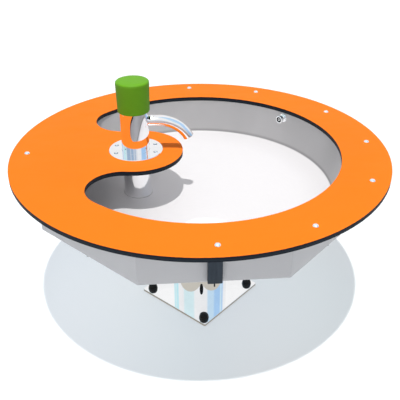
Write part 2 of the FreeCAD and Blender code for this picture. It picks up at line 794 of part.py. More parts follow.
# ================= base plate =================
def base_plate():
    """Square plate with rounded corners, turned so that its corners lie on the axes."""
    body = new_body("base_plate")
    sketch = new_sketch(body, "plate_outline", "XY_Plane")
    half = plate_side / 2.0
    polygon(sketch, [(-half, -half), (half, -half), (half, half), (-half, half)])
    circle(sketch, 0.0, 0.0, plate_hole_r)
    pad(body, "plate_pad", sketch, plate_thickness)

    def is_corner(edge):
        if len(edge.Vertexes) != 2:
            return False
        start, end = edge.Vertexes
        upright = abs(start.X - end.X) < 1e-6 and abs(start.Y - end.Y) < 1e-6
        return upright and abs(start.X) > 100

    round_edges(body, "plate_corners", 6.0, is_corner)
    anchor_xy = anchor_circle_r / math.sqrt(2)
    drill_ring(body, "anchor", anchor_xy, anchor_xy, 20.0, anchor_hole_r, 40.0, 4)
    place(body, rot=about_z(45))
    keep("base_plate", body)


base_plate()

# ================= leg =================
# the nozzle's hose runs in an upright plane from its elbow to a point on the leg's wall,
# then on inside the leg
elbow_r = nozzle_wall_r + 23.7
elbow_x, elbow_y = elbow_r * cosd(nozzle_angle), elbow_r * sind(nozzle_angle)
entry_r, entry_angle = 96.7, math.radians(15)
entry_x, entry_y = entry_r * math.cos(entry_angle), entry_r * math.sin(entry_angle)
to_leg_x, to_leg_y = entry_x - elbow_x.value, entry_y - elbow_y.value
feed_run = math.hypot(to_leg_x, to_leg_y)
feed_turn = math.degrees(math.atan2(to_leg_y, to_leg_x))
feed_dir_x, feed_dir_y = to_leg_x / feed_run, to_leg_y / feed_run
feed_entry_z = 305.0

leg_blank = ring("leg_blank", leg_r, leg_r - leg_wall, leg_top_z - plate_thickness,
                 0, 0, plate_thickness)
keep("leg_tube", cut(
    "leg", leg_blank,
    cyl("leg_waste_hole", waste_pipe_r + 4.0, 40.0, 0, -(leg_r + 20.0), waste_run_z, ALONG_Y),
    cyl("leg_hose_hole", hose_r + 4.0, 40.0, -(leg_r + 20.0), 0, hose_run_z, ALONG_X),
    cyl("leg_nozzle_hose_hole", 9.0, 50.0, entry_x + 25.0 * feed_dir_x,
        entry_y + 25.0 * feed_dir_y, feed_entry_z,
        about_z(feed_turn + 180.0).multiply(ALONG_X))))

# ================= hub and support frame =================
disc_hole_r = 60.0
hub_bolt_hole_r = 6.5


def hub_disc(name, z):
    """Disc with a centre hole and six bolt holes."""
    body = new_body(name)
    sketch = new_sketch(body, name + "_outline", "XY_Plane", z)
    circle(sketch, 0.0, 0.0, hub_r)
    circle(sketch, 0.0, 0.0, disc_hole_r)
    pad(body, name + "_pad", sketch, hub_thickness)
    drill_ring(body, name, hub_bolt_circle_r, 0.0, z + 20.0, hub_bolt_hole_r, 40.0, 6)
    return body


def web(index):
    """One of the four upright webs from the hub to the skirt; outline in (radius, height)."""
    body = new_body("web%d" % index)
    sketch = new_sketch(body, "web_outline%d" % index, "XZ_Plane", -web_thickness / 2.0)
    polygon(sketch, [
        (64.0, hub_top_z), (126.0, hub_top_z), (165.0, hub_top_z + 5.0),
        (skirt_inner_r, skirt_bottom_z - 6.0), (skirt_inner_r, 520.0),
        (skirt_inner_r - 22.0, 520.0), (bowl_floor_r - 6.0, bowl_floor_z),
        (64.0, bowl_floor_z)])
    pad(body, "web_pad%d" % index, sketch, web_thickness)
    return place(body, rot=about_z(45 + 90 * index))


keep("leg_top_flange", hub_disc("leg_flange", leg_top_z))
hub_plate = hub_disc("hub_plate", hub_z)
web_keepout = bowl_solid("web_keepout", bowl_thickness + 0.3, 4.0)  # clears the bowl
webs = [web(k) for k in range(4)]
keep("support_frame", cut("frame_trimmed", fuse("frame_blank", hub_plate, *webs), web_keepout))

# ================= hub and anchor hardware =================
hex_r = 10.97
hub_bolt_r = 6.0
hub_bolt_head_height = 7.5
hub_nut_height = 10.8
washer_r = 12.0
washer_t = 2.5

hub_spots = circle_spots(hub_bolt_circle_r, 6)
anchor_spots = circle_spots(anchor_circle_r, 4)
hub_bolt = fuse("hub_bolt_unit",
                prism("hub_bolt_head", hex_r, hub_bolt_head_height,
                      0, 0, leg_top_z - hub_bolt_head_height),
                cyl("hub_bolt_shank", hub_bolt_r, 40.0, 0, 0, leg_top_z - 2.0))
group("hub_bolts", hub_bolt, hub_spots)


def washers_and_nuts(prefix, seat_z, washer_bore_r, spots):
    nut = hex_nut(prefix + "_nut_unit", hex_r, hub_bolt_r + 0.05, hub_nut_height,
                  z=seat_z + washer_t)
    group(prefix + "_nuts", nut, spots)
    washer = ring(prefix + "_washer_unit", washer_r, washer_bore_r, washer_t, z=seat_z)
    group(prefix + "_washers", washer, spots)


washers_and_nuts("hub", hub_top_z, 6.5, hub_spots)
# the anchor studs themselves belong to the ground
washers_and_nuts("anchor", plate_thickness, 6.6, anchor_spots)

# snap-on caps over the anchor nuts: (radius, height over the plate), outside then inside
anchor_cap = revolve("anchor_cap_unit", above(plate_thickness, [
    (13.8, 0.0), (17.2, 0.0), (17.2, 3.6), (16.4, 4.8), (16.4, 9.0), (14.6, 14.2),
    (10.6, 17.4), (5.2, 18.8), (0.0, 19.0),
    (0.0, 17.0), (9.6, 15.2), (12.9, 12.4), (13.8, 8.0)]))
group("anchor_caps", anchor_cap, anchor_spots)

# ================= tap post and its flanges =================
post_blank = ring("post_blank", post_r, post_r - post_wall, post_top_z - post_bottom_z,
                  post_x, 0, post_bottom_z)
keep("post_tube", cut("post", post_blank, cyl("post_nipple_hole", spout_bore_r + 0.35, 60.0,
                                              post_x, 0, spout_z, ALONG_X)))


def flange_holes(name, radius):
    return [cyl("%s_hole%d" % (name, i), radius, 40.0, x, y, ring_under_z - 20.0)
            for i, (x, y) in enumerate(FLANGE_SPOTS)]


flange_hole_r = 4.2
flange_top_z = table_top_z + flange_thickness
flange_bevel = 1.2
flange_blank = revolve("post_flange_blank", [
    (post_hole_r, table_top_z), (flange_r, table_top_z),
    (flange_r, flange_top_z - flange_bevel), (flange_r - flange_bevel, flange_top_z),
    (post_hole_r, flange_top_z)], post_x)
countersinks = [cone("flange_sink%d" % i, flange_hole_r, 6.7, 2.5, x, y, flange_top_z - 2.45)
                for i, (x, y) in enumerate(FLANGE_SPOTS)]
keep("post_flange", cut("flange", flange_blank,
                        *(flange_holes("flange", flange_hole_r) + countersinks)))

# plain ring under the table top
backing_under_z = ring_under_z - flange_thickness
backing_blank = revolve("backing_blank", [
    (post_hole_r, backing_under_z), (flange_r, backing_under_z),
    (flange_r, ring_under_z), (post_hole_r, ring_under_z)], post_x)
keep("flange_backing_plate", cut("backing", backing_blank, *flange_holes("backing", 4.03)))

# countersunk socket screws: (radius, height)
flange_screw = cut("flange_screw_unit", revolve("flange_screw_blank", [
    (0.0, ring_under_z - 8.0), (4.0, ring_under_z - 8.0), (4.0, table_top_z + 1.6),
    (6.55, flange_top_z), (5.2, flange_top_z + 0.7), (2.6, flange_top_z + 1.1),
    (0.0, flange_top_z + 1.2)]),
    prism("flange_screw_socket", 2.5, 4.0, 0, 0, flange_top_z - 1.4))
group("flange_screws", flange_screw, [(x.value, y.value, 0, 0) for x, y in FLANGE_SPOTS])

# ================= push valve inside the post; outlines in (radius, height) =================
valve_bottom_z = 600.0
poppet_top_z = 634.0
valve_seat_z = 638.0
valve_top_z = 696.0
carrier_top_z = 702.0
bonnet_top_z = 706.0
valve_bore_r = 16.0
carrier_outer_r = post_r - post_wall - 0.05
stem_hole_r = stem_r + 0.05
poppet_hole_r = 4.04

keep("valve_carrier", revolve("valve_carrier", [
    (20.2, valve_top_z), (carrier_outer_r, valve_top_z),
    (carrier_outer_r, carrier_top_z), (20.2, carrier_top_z)], post_x))
valve_blank = revolve("valve_body_blank", [
    (valve_bore_r, valve_bottom_z), (27.0, valve_bottom_z), (28.0, 601.0), (28.0, 695.0),
    (27.0, valve_top_z), (valve_bore_r, valve_top_z), (valve_bore_r, 644.0), (8.0, 644.0),
    (8.0, valve_seat_z), (valve_bore_r, valve_seat_z)], post_x)
keep("valve_body", cut("valve_housing", valve_blank,
                       cyl("valve_port", spout_bore_r - 0.05, 40.0,
                           post_x + 8.0, 0, spout_z, ALONG_X)))
keep("valve_bonnet", revolve("valve_bonnet", [
    (stem_hole_r, 686.0), (15.95, 686.0), (15.95, valve_top_z), (20.0, valve_top_z),
    (20.0, carrier_top_z), (25.0, carrier_top_z), (25.0, 705.0), (24.0, bonnet_top_z),
    (stem_hole_r, bonnet_top_z), (stem_hole_r, 701.5), (7.7, 701.5), (7.7, 698.5),
    (stem_hole_r, 698.5)], post_x))
keep("stem_o_ring", torus("stem_ring", 6.37, 1.3, post_x, 0, 700.0))

# inlet: hex below the valve, neck up into its bore, tail down into the hose
inlet_blank = fuse("inlet_blank",
                   prism("inlet_hex", 24.0, 12.0, post_x, 0, valve_bottom_z - 12.0),
                   cyl("inlet_neck", 15.95, 9.1, post_x, 0, valve_bottom_z - 0.1),
                   cyl("inlet_tail", 5.5, 24.0, post_x, 0, 564.1))
keep("inlet_fitting", cut("inlet", inlet_blank,
                          cyl("inlet_bore", 3.8, 80.0, post_x, 0, 550.0)))

stem_top_z = cap_ceiling_z - 4.0
keep("valve_stem", revolve("valve_stem", [
    (0.0, 626.0), (3.5, 626.0), (4.0, 626.5), (4.0, poppet_top_z), (stem_r, poppet_top_z),
    (stem_r, stem_top_z - 1.0), (stem_r - 1.0, stem_top_z), (0.0, stem_top_z)], post_x))
keep("poppet", revolve("poppet", [
    (poppet_hole_r, 627.0), (11.5, 627.0), (13.0, 628.5), (13.0, poppet_top_z - 0.1),
    (poppet_hole_r, poppet_top_z - 0.1)], post_x))
keep("poppet_seal", revolve("poppet_seal", [
    (5.04, poppet_top_z), (12.4, poppet_top_z), (12.4, valve_seat_z - 0.1),
    (5.04, valve_seat_z - 0.1)], post_x))

boss_z = cap_ceiling_z - 22.0


def return_spring():
    """Coil between the bonnet and the cap's boss."""
    coil_r, wire_r, coils, gap = 11.6, 1.5, 8.0, 0.05
    bottom_z = bonnet_top_z + wire_r + gap
    height = boss_z.value - wire_r - gap - bottom_z
    pitch = height / coils
    helix = doc.addObject("Part::Helix", "spring_helix")
    helix.Pitch = pitch
    helix.Height = height
    helix.Radius = coil_r
    helix.Placement = FreeCAD.Placement(V(post_x.value, 0, bottom_z), FreeCAD.Rotation())
    lead = math.degrees(math.atan2(pitch, 2 * math.pi * coil_r))
    keep("return_spring", sweep("spring", wire_r, helix,
                                V(post_x.value + coil_r, 0, bottom_z),
                                FreeCAD.Rotation(V(1, 0, 0), 90 + lead), frenet=True))


def push_cap():
    """Hollow turned cap with a boss for the stem's insert, its top edge rounded."""
    boss_hole_r, boss_r, shoulder_drop = 9.06, 14.0, 1.8
    boss_hole_top_z = cap_ceiling_z - 2.5
    shoulder_z = cap_top_z - shoulder_drop
    body = revolve("push_cap", [
        (boss_hole_r, boss_z), (boss_r, boss_z), (boss_r, cap_ceiling_z),
        (cap_inner_r, cap_ceiling_z), (cap_inner_r, cap_rim_z), (cap_r - 2.0, cap_rim_z),
        (cap_r, cap_rim_z + 2.0), (cap_r, shoulder_z), (0.0, cap_top_z),
        (0.0, boss_hole_top_z), (boss_hole_r, boss_hole_top_z)])

    def is_shoulder(edge):
        bounds = edge.BoundBox
        level = (abs(bounds.ZMin - shoulder_z.value) < 1e-3
                 and abs(bounds.ZMax - shoulder_z.value) < 1e-3)
        return level and bounds.XMax > 49.9

    round_edges(body, "cap_rounded", 6.5, is_shoulder)
    doc.recompute()
    place(body, post_x)
    keep("push_cap", body)


return_spring()
push_cap()

# grooved bush between the stem and the cap's boss
insert_hole_r = stem_r + 0.02
insert_top_z = cap_ceiling_z - 3.0
keep("cap_insert", revolve("cap_insert", [
    (insert_hole_r, boss_z + 0.5), (9.0, boss_z + 0.5), (9.0, boss_z + 8.0),
    (8.2, boss_z + 8.6), (8.2, boss_z + 10.4), (9.0, boss_z + 11.0),
    (9.0, insert_top_z), (insert_hole_r, insert_top_z)], post_x))
guide_inner_r, guide_outer_r = post_r + 0.04, cap_inner_r - 0.07
keep("cap_guide_ring", revolve("cap_guide_ring", [
    (guide_inner_r, 722.0), (guide_outer_r, 722.0),
    (guide_outer_r, 734.0), (guide_inner_r, 734.0)], post_x))

# ================= spout =================
nipple_x = post_x + 17.0
groove_width = 1.8
o_ring_r, o_ring_wire_r = spout_bore_r - 0.73, 0.62
GROOVES = (("a", 5.5), ("b", 33.2))  # label and distance from the nipple's -X end


def spout_ring(name, outer_r, inner_r, length, x):
    """A ring along X on the spout root's axis."""
    return cut(name, cyl(name + "_out", outer_r, length, x, 0, spout_z, ALONG_X),
               cyl(name + "_in", inner_r, length + 2 * OVERCUT,
                   x - OVERCUT, 0, spout_z, ALONG_X))


nipple_blank = spout_ring("nipple_blank", spout_bore_r - 0.1, spout_bore_r - 3.85,
                          36.0, nipple_x)
nipple_grooves = [spout_ring("nipple_groove_" + label, spout_bore_r + 3.0,
                             spout_bore_r - 1.4, groove_width, nipple_x + distance)
                  for label, distance in GROOVES]
keep("spout_nipple", cut("nipple", nipple_blank, *nipple_grooves))
keep("spout_o_rings", compound("spout_rings", *[
    torus("spout_ring_" + label, o_ring_r, o_ring_wire_r,
          nipple_x + (distance + groove_width / 2), 0, spout_z, ALONG_X)
    for label, distance in GROOVES]))


def spout_bar(name, radius):
    """Straight root then one downward bend, in the plane y = 0."""
    path = doc.addObject("Sketcher::SketchObject", name + "_path")
    root_x, bend_x = post_x + 30.0, post_x + spout_bend_start_x
    sweep_angle = math.radians(spout_sweep_angle.value)
    root = add_line(path, (root_x, spout_z), (bend_x, spout_z))
    bend = add_arc(path, bend_x.value, (spout_z - spout_bend_r).value, spout_bend_r.value,
                   math.pi / 2 - sweep_angle, math.pi / 2)
    pin(path, root, 1, root_x, spout_z)
    pin(path, root, 2, bend_x, spout_z)
    join(path, "Tangent", root, 2, bend, 2)
    fix_radius(path, bend, spout_bend_r)
    end_x = bend_x + spout_bend_r * sind(spout_sweep_angle)
    constrain(path, end_x, "DistanceX", -1, 1, bend, 1)
    path.Placement = FreeCAD.Placement(V(0, 0, 0), UPRIGHT)
    return sweep(name, radius, path, V(root_x.value, 0, spout_z.value), ALONG_X)


SET_SCREW_ROT = FreeCAD.Rotation(V(1, 0, 0), 45)  # local Z turned up and towards -Y
DIAGONAL = math.sqrt(0.5)
set_screw_x = post_x + 47.4
spout_blank = cut("spout_blank", spout_bar("spout_outside", spout_r),
                  spout_bar("spout_inside", spout_bore_r))
keep("spout_tube", cut("spout", spout_blank,
                       cyl("spout_saddle", post_r + 0.05, 60.0, post_x, 0, spout_z - 30.0),
                       cyl("spout_screw_hole", 3.55, 20.0, set_screw_x, 0, spout_z,
                           SET_SCREW_ROT)))


def set_screw_part(make, name, radius, length, from_axis):
    """A primitive on the set screw's line, starting from_axis out from the spout's axis."""
    shift = from_axis * DIAGONAL
    return make(name, radius, length, set_screw_x, -shift, spout_z + shift, SET_SCREW_ROT)


keep("spout_set_screw", cut("set_screw",
                            set_screw_part(cyl, "set_screw_blank", 3.5, 2.0, spout_bore_r),
                            set_screw_part(prism, "set_screw_socket", 1.75, 4.0,
                                           spout_r - 1.2)))

# ================= water feed =================
supply_x = -36.0  # where the hose rises inside the leg
hose_bore_r = 5.6
hose_fit_r = hose_r + 0.06

# supply hose: up inside the leg, out to the post's axis, up to the inlet; corners (x, z)
keep("supply_hose", tube("supply", hose_r, hose_bore_r,
                         [(supply_x, 26.0), (supply_x, hose_run_z),
                          (post_x, hose_run_z), (post_x, 587.5)], hose_bend_r))
keep("hose_ferrules", compound("ferrules", *[
    ring(name, 9.6, hose_fit_r, 16.0, x, 0, z)
    for name, x, z in (("ferrule_a", post_x, 568.0), ("ferrule_b", supply_x, 36.0))]))
keep("hose_nut", swivel_nut("hose_swivel_nut", 13.86, 20.0, 10.3, 14.0, hose_fit_r,
                            supply_x, 0, 12.0))


def grommet(name, inner_r, groove_r, lip_r, near, turn, z):
    """H-section rubber ring in a hole of the leg's wall.

    It is turned about a level axis; near and far are distances from the leg's axis.
    """
    far = leg_r + 0.1
    outline = [(inner_r, near - 3.0), (lip_r, near - 3.0), (lip_r, near), (groove_r, near),
               (groove_r, far), (lip_r, far), (lip_r, far + 2.8), (inner_r, far + 2.8)]
    keep(name, revolve(name, outline, z=z, rot=about_z(turn).multiply(ALONG_X)))


grommet("hose_grommet", hose_r + 0.08, hose_r + 3.9, hose_r + 7.0, 92.29, 180.0, hose_run_z)
grommet("waste_grommet", waste_pipe_r + 0.1, waste_pipe_r + 3.9, waste_pipe_r + 8.0,
        87.62, -90.0, waste_run_z)

# ================= wall nozzle, placed by distance from the bowl wall =================
wall_r = nozzle_wall_r
nozzle_tail_r = 6.0
nozzle_thread_r = nozzle_tail_r + 0.05
nozzle_bore_r = 3.0

nozzle_front = fuse("nozzle_front",
                    radial(cyl, "nozzle_head", wall_r - 26.0, 12.5, 8.0),
                    radial(cone, "nozzle_shoulder", wall_r - 18.0, 12.5, 10.0, 2.5),
                    radial(cyl, "nozzle_neck", wall_r - 15.5, 10.0, 12.5),
                    radial(cyl, "nozzle_collar", wall_r - 5.0, 15.5, 12.0))
# the collar takes the shape of the bowl wall it sits on
nozzle_seated = common("nozzle_seated", nozzle_front, bowl_inside)
nozzle_blank = fuse("nozzle_blank", nozzle_seated,
                    radial(cyl, "nozzle_tail", wall_r - 6.0, nozzle_tail_r, 21.5))
nozzle_recess = cut("nozzle_recess",
                    radial(cyl, "nozzle_recess_wall", wall_r - 28.0, 9.0, 10.0),
                    radial(cyl, "nozzle_jet", wall_r - 24.5, 5.0, 20.0))
keep("wall_nozzle", cut("nozzle", nozzle_blank, nozzle_recess,
                        radial(cyl, "nozzle_bore", wall_r - 30.0, nozzle_bore_r, 70.0)))
keep("nozzle_washer", cut("washer", radial(cyl, "washer_blank", wall_r - 1.0, 11.0, 7.5),
                          bowl_outside,
                          radial(cyl, "washer_bore", wall_r - 10.0, 6.15, 40.0)))
keep("nozzle_nut", cut("nozzle_lock",
                       radial(prism, "nozzle_lock_hex", wall_r + 6.5, 10.4, 5.0),
                       radial(cyl, "nozzle_lock_bore", wall_r - 2.0, nozzle_thread_r, 30.0)))

# elbow from the nozzle's tail down to its hose
elbow_outer_r = 9.0
elbow_blank = fuse("elbow_blank",
                   radial(cyl, "elbow_socket", wall_r + 12.0, elbow_outer_r, 11.7),
                   primitive("Sphere", "elbow_ball", {"Radius": elbow_outer_r},
                             elbow_x, elbow_y, nozzle_z),
                   cyl("elbow_tail", 4.0, 24.0, elbow_x, elbow_y, nozzle_z - 24.0))
keep("nozzle_elbow", cut("elbow", elbow_blank,
                         radial(cyl, "elbow_thread", wall_r + 11.0, nozzle_thread_r, 5.0),
                         radial(cyl, "elbow_way", wall_r + 10.0, nozzle_bore_r, 13.7),
                         cyl("elbow_drop", 2.5, 25.0, elbow_x, elbow_y, nozzle_z - 25.0)))

# nozzle hose: down, in under the basin, down, through the leg's wall, down inside the leg;
# corners (distance from the elbow, height)
feed_r = 6.0
feed_bore_r = 4.08
feed_bend_r = 25.0
feed_high_z = 395.0
feed_drop = feed_run - 62.0
feed_end = feed_run + 50.0
keep("nozzle_hose", tube("nozzle_feed", feed_r, feed_bore_r,
                         [(0.0, 530.0), (0.0, feed_high_z), (feed_drop, feed_high_z),
                          (feed_drop, feed_entry_z), (feed_end, feed_entry_z),
                          (feed_end, 34.0)],
                         feed_bend_r, elbow_x.value, elbow_y.value, feed_turn))
keep("nozzle_hose_nut", swivel_nut("nozzle_swivel_nut", 11.0, 18.0, 8.2, 12.0, feed_r + 0.06,
                                   elbow_x.value + feed_end * feed_dir_x,
                                   elbow_y.value + feed_end * feed_dir_y, 20.0))

# ================= check and write =================
doc.recompute()
for obj in doc.Objects:
    if any(flag in ("Invalid", "Error") for flag in obj.State):
        raise RuntimeError("%s (%s) is %s" % (obj.Label, obj.Name, obj.State))
os.makedirs("parts", exist_ok=True)
for old in os.listdir("parts"):
    if old.endswith(".step"):
        os.remove(os.path.join("parts", old))
for name, obj in nodes.items():
    shape = obj.Shape
    if shape.isNull() or not shape.isValid() or not shape.Solids:
        raise RuntimeError("%s has no valid solid" % name)
    if min(solid.Volume for solid in shape.Solids) <= 0:
        raise RuntimeError("%s has an empty solid" % name)
    shape.exportStep(os.path.join("parts", name + ".step"))
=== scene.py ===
"""A round orange play table on one steel leg, with a sunken basin, a tap post and a push button.

The leg stands on the origin and the table's axis is Z. The tap post is on the -X side of the
opening, its spout points to +X, and the drain and the skirt's seam are on the -Y side.
Shapes are in millimetres (MM turns them into metres); shaders, stage and camera are in metres.
"""
import bpy
import bmesh
import json
from math import acos, atan2, cos, degrees, dist, hypot, pi, radians, sin, sqrt, tan, tau
from mathutils import Matrix, Vector
from mathutils.geometry import tessellate_polygon

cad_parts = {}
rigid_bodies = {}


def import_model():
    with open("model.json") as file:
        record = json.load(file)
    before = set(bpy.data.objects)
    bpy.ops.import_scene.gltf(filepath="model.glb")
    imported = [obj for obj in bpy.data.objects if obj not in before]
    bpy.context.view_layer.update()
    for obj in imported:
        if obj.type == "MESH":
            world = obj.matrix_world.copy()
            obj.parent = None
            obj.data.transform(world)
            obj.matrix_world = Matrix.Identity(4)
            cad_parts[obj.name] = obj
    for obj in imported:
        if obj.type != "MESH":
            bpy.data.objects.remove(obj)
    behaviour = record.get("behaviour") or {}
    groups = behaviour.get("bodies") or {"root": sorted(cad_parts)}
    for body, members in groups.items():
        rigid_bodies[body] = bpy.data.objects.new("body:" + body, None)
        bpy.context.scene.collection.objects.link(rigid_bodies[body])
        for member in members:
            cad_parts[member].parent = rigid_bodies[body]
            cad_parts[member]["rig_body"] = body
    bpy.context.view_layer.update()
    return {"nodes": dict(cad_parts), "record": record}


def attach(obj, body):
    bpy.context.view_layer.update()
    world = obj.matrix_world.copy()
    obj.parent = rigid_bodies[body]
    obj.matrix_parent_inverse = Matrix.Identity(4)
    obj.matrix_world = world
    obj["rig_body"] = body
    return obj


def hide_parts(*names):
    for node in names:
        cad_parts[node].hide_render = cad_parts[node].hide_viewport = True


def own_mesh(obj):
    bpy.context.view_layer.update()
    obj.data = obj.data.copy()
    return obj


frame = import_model()
NODE = frame["nodes"]
SLOT_OF = {part["node"]: part["material_slot"] for part in frame["record"]["subparts"]}
BODY_OF = {name: obj["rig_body"] for name, obj in NODE.items()}
TABLE, BUTTON = "table", "push_button"
MM = 0.001
scene = bpy.context.scene
scene.view_settings.view_transform = "Standard"
scene.view_settings.look = "None"

# ============================================================ shared dimensions
BOARD_R = 600.0
BOARD_BOTTOM, FACING_BOTTOM, BOARD_TOP = 562.0, 576.4, 577.0
COLLAR_BOTTOM = 558.0          # top of the basin and skirt
OPENING_R = 450.0              # the board's opening
BAY_R = 100.0                  # the two bays beside the peninsula
BULB_R = 150.0                 # the peninsula's round end
POST_X = -206.0
POST_FOOT = (POST_X, 0, 0)
POST_R = 44.45
SKIRT_APOTHEM = 494.5
LEG_R = 96.85

BASIN_TOP_R = 455.0
FLOOR_R, FLOOR_Z = 436.0, 439.4          # where the basin's wall meets its floor
DRAIN_R, DRAIN_Y, DRAIN_Z = 46.0, -300.0, 408.0

# places of repeated fasteners, (x, y)
RING_BOLTS = [(550 * cos(radians(a)), 550 * sin(radians(a)))
              for a in (0, 180, 90, -90, 28.4, -28.4, 61.8, -61.8)]
FLANGE_SCREWS = [(POST_X + i * 62.0, j * 28.5) for i in (-1, 1) for j in (-1, 1)]
ANCHORS = [(174 * cos(tau * k / 4), 174 * sin(tau * k / 4)) for k in range(4)]

# wall nozzle: its outward direction, height, and the basin wall's radius there
NOZZLE_ANGLE, NOZZLE_Z = radians(42.18), 541.3
WALL_SLOPE = (BASIN_TOP_R - FLOOR_R) / (BOARD_BOTTOM - FLOOR_Z)
NOZZLE_R = FLOOR_R + WALL_SLOPE * (NOZZLE_Z - FLOOR_Z)
NOZZLE_DIR = Vector((cos(NOZZLE_ANGLE), sin(NOZZLE_ANGLE), 0))
NOZZLE_AT = NOZZLE_DIR * NOZZLE_R + Vector((0, 0, NOZZLE_Z))

# nozzle hose: from below the nozzle's elbow to its hole in the leg
ELBOW = NOZZLE_DIR * (NOZZLE_R + 23.7)
HOLE_X, HOLE_Y, HOLE_Z = 96.7 * cos(radians(15)), 96.7 * sin(radians(15)), 305.0
HOSE_RUN = hypot(HOLE_X - ELBOW.x, HOLE_Y - ELBOW.y)
HOSE_DIR = Vector((HOLE_X - ELBOW.x, HOLE_Y - ELBOW.y, 0)) / HOSE_RUN

# ============================================================ node trees
MAT = {}


class Nodes:
    """Short calls for building the node tree of one material or world."""

    def __init__(self, owner, output="OutputMaterial"):
        owner.use_nodes = True
        self.owner = owner
        self.tree = owner.node_tree
        self.tree.nodes.clear()
        self.output = self.node(output)
        self.coord = self.node("TexCoord")

    def node(self, kind, **inputs):
        """A node with inputs set or linked; an underscore stands for a space."""
        made = self.tree.nodes.new("ShaderNode" + kind)
        for name, value in inputs.items():
            self.feed(made.inputs[name.replace("_", " ")], value)
        return made

    def feed(self, socket, value):
        if isinstance(value, bpy.types.NodeSocket):
            self.tree.links.new(value, socket)
        elif socket.type == "RGBA":
            socket.default_value = tuple(value) + (1.0,)
        else:
            socket.default_value = value

    def math(self, operation, a, b=0.0, clamp=False):
        made = self.node("Math")
        made.operation = operation
        made.use_clamp = clamp
        self.feed(made.inputs[0], a)
        self.feed(made.inputs[1], b)
        return made.outputs[0]

    def plus(self, a, b):
        return self.math("ADD", a, b)

    def minus(self, a, b):
        return self.math("SUBTRACT", a, b)

    def times(self, a, b):
        return self.math("MULTIPLY", a, b)

    def mapping(self, scale, rotation=(0, 0, 0), space="Object"):
        return self.node("Mapping", Vector=self.coord.outputs[space], Scale=scale,
                         Rotation=rotation).outputs[0]

    def noise(self, scale, detail=3.0, rough=0.55, vector=None, distortion=0.0):
        return self.node("TexNoise", Vector=vector or self.coord.outputs["Object"], Scale=scale,
                         Detail=detail, Roughness=rough, Distortion=distortion).outputs["Fac"]

    def span(self, value, to=(0.0, 1.0), over=(0.3, 0.7)):
        """The range `over` of a value mapped onto the range `to`."""
        made = self.node("MapRange", Value=value, From_Min=over[0], From_Max=over[1],
                         To_Min=to[0], To_Max=to[1])
        return made.outputs[0]

    def mix(self, factor, first, second):
        """Colour mix: `first` at factor 0, `second` at 1."""
        made = self.node("Mix")
        made.data_type = "RGBA"
        self.feed(made.inputs["Factor"], factor)
        sockets = [s for s in made.inputs if s.type == "RGBA"]
        for socket, color in zip(sockets, (first, second)):
            self.feed(socket, color)
        return [s for s in made.outputs if s.type == "RGBA"][0]

    def dim(self, color, value):
        """A colour with its brightness multiplied."""
        return self.node("HueSaturation", Value=value, Color=color).outputs[0]

    def azimuth_ramp(self, factor, stops):
        """Colours by compass direction; stops are (degrees from -180 to 180, colour)."""
        made = self.node("ValToRGB", Fac=factor)
        elements = made.color_ramp.elements
        while len(elements) > 1:
            elements.remove(elements[-1])
        for k, (angle, color) in enumerate(stops):
            position = (angle + 180.0) / 360.0
            element = elements.new(position) if k else elements[0]
            element.position = position
            element.color = color + (1.0,)
        return made.outputs[0]

    def xyz(self, vector):
        return self.node("SeparateXYZ", Vector=vector).outputs

    def place(self):
        return self.xyz(self.coord.outputs["Object"])

    def from_axis(self, place):
        """Distance from the Z axis."""
        squares = [self.times(place[axis], place[axis]) for axis in "XY"]
        return self.math("SQRT", self.plus(*squares))

    def level(self):
        """0 on upright faces, 1 on level ones."""
        normal = self.xyz(self.node("NewGeometry").outputs["Normal"])
        return self.span(self.math("ABSOLUTE", normal["Z"]), over=(0.25, 0.85))

    def bump(self, height, strength, distance):
        return self.node("Bump", Strength=strength, Distance=distance, Height=height).outputs[0]

    def emission(self, color, strength=1.0):
        return self.node("Emission", Color=color, Strength=strength).outputs[0]

    def mix_shader(self, factor, first, second):
        made = self.node("MixShader")
        for socket, value in zip(made.inputs, (factor, first, second)):
            self.feed(socket, value)
        return made.outputs[0]

    def show(self, shader):
        self.feed(self.output.inputs["Surface"], shader)

    def principled(self, color, rough, normal, **inputs):
        self.show(self.node("BsdfPrincipled", Base_Color=color, Roughness=rough, Normal=normal,
                            **inputs).outputs[0])


def material(name):
    """A new material, kept in MAT, and the node tree to build."""
    MAT[name] = bpy.data.materials.new(name)
    return Nodes(MAT[name])


def scaled(color, factor):
    return tuple(min(1.0, channel * factor) for channel in color)


# ============================================================ materials
def orange_laminate():
    mat = material("orange_laminate")
    base = (0.86, 0.188, 0.0115)
    cloud = mat.noise(scale=3.1, rough=0.5)
    fine = mat.noise(scale=620.0, detail=2.0, rough=0.6)
    grit = mat.noise(scale=2600.0, detail=1.0, rough=0.5)
    color = mat.mix(mat.span(cloud), scaled(base, 0.965), scaled(base, 1.03))
    # painted sheen: a little lighter towards -Y, where the board's gloss catches the light
    color = mat.mix(mat.span(mat.place()["Y"], over=(-0.5, -0.2)), scaled(base, 1.05), color)
    color = mat.mix(mat.span(fine, to=(0.0, 0.16), over=(0.35, 0.75)), color, scaled(base, 1.10))
    stretched = mat.mapping(scale=(1.0, 3.0, 1.0), rotation=(0, 0, 0.5))
    rub = mat.noise(scale=9.0, detail=5.0, rough=0.65, vector=stretched)
    rough = mat.plus(mat.span(rub, to=(0.40, 0.50), over=(0.35, 0.7)),
                     mat.span(fine, to=(-0.03, 0.03)))
    height = mat.plus(fine, mat.times(grit, 0.4))
    mat.principled(color, rough, mat.bump(height, strength=0.16, distance=0.0003),
                   Specular_IOR_Level=0.04)


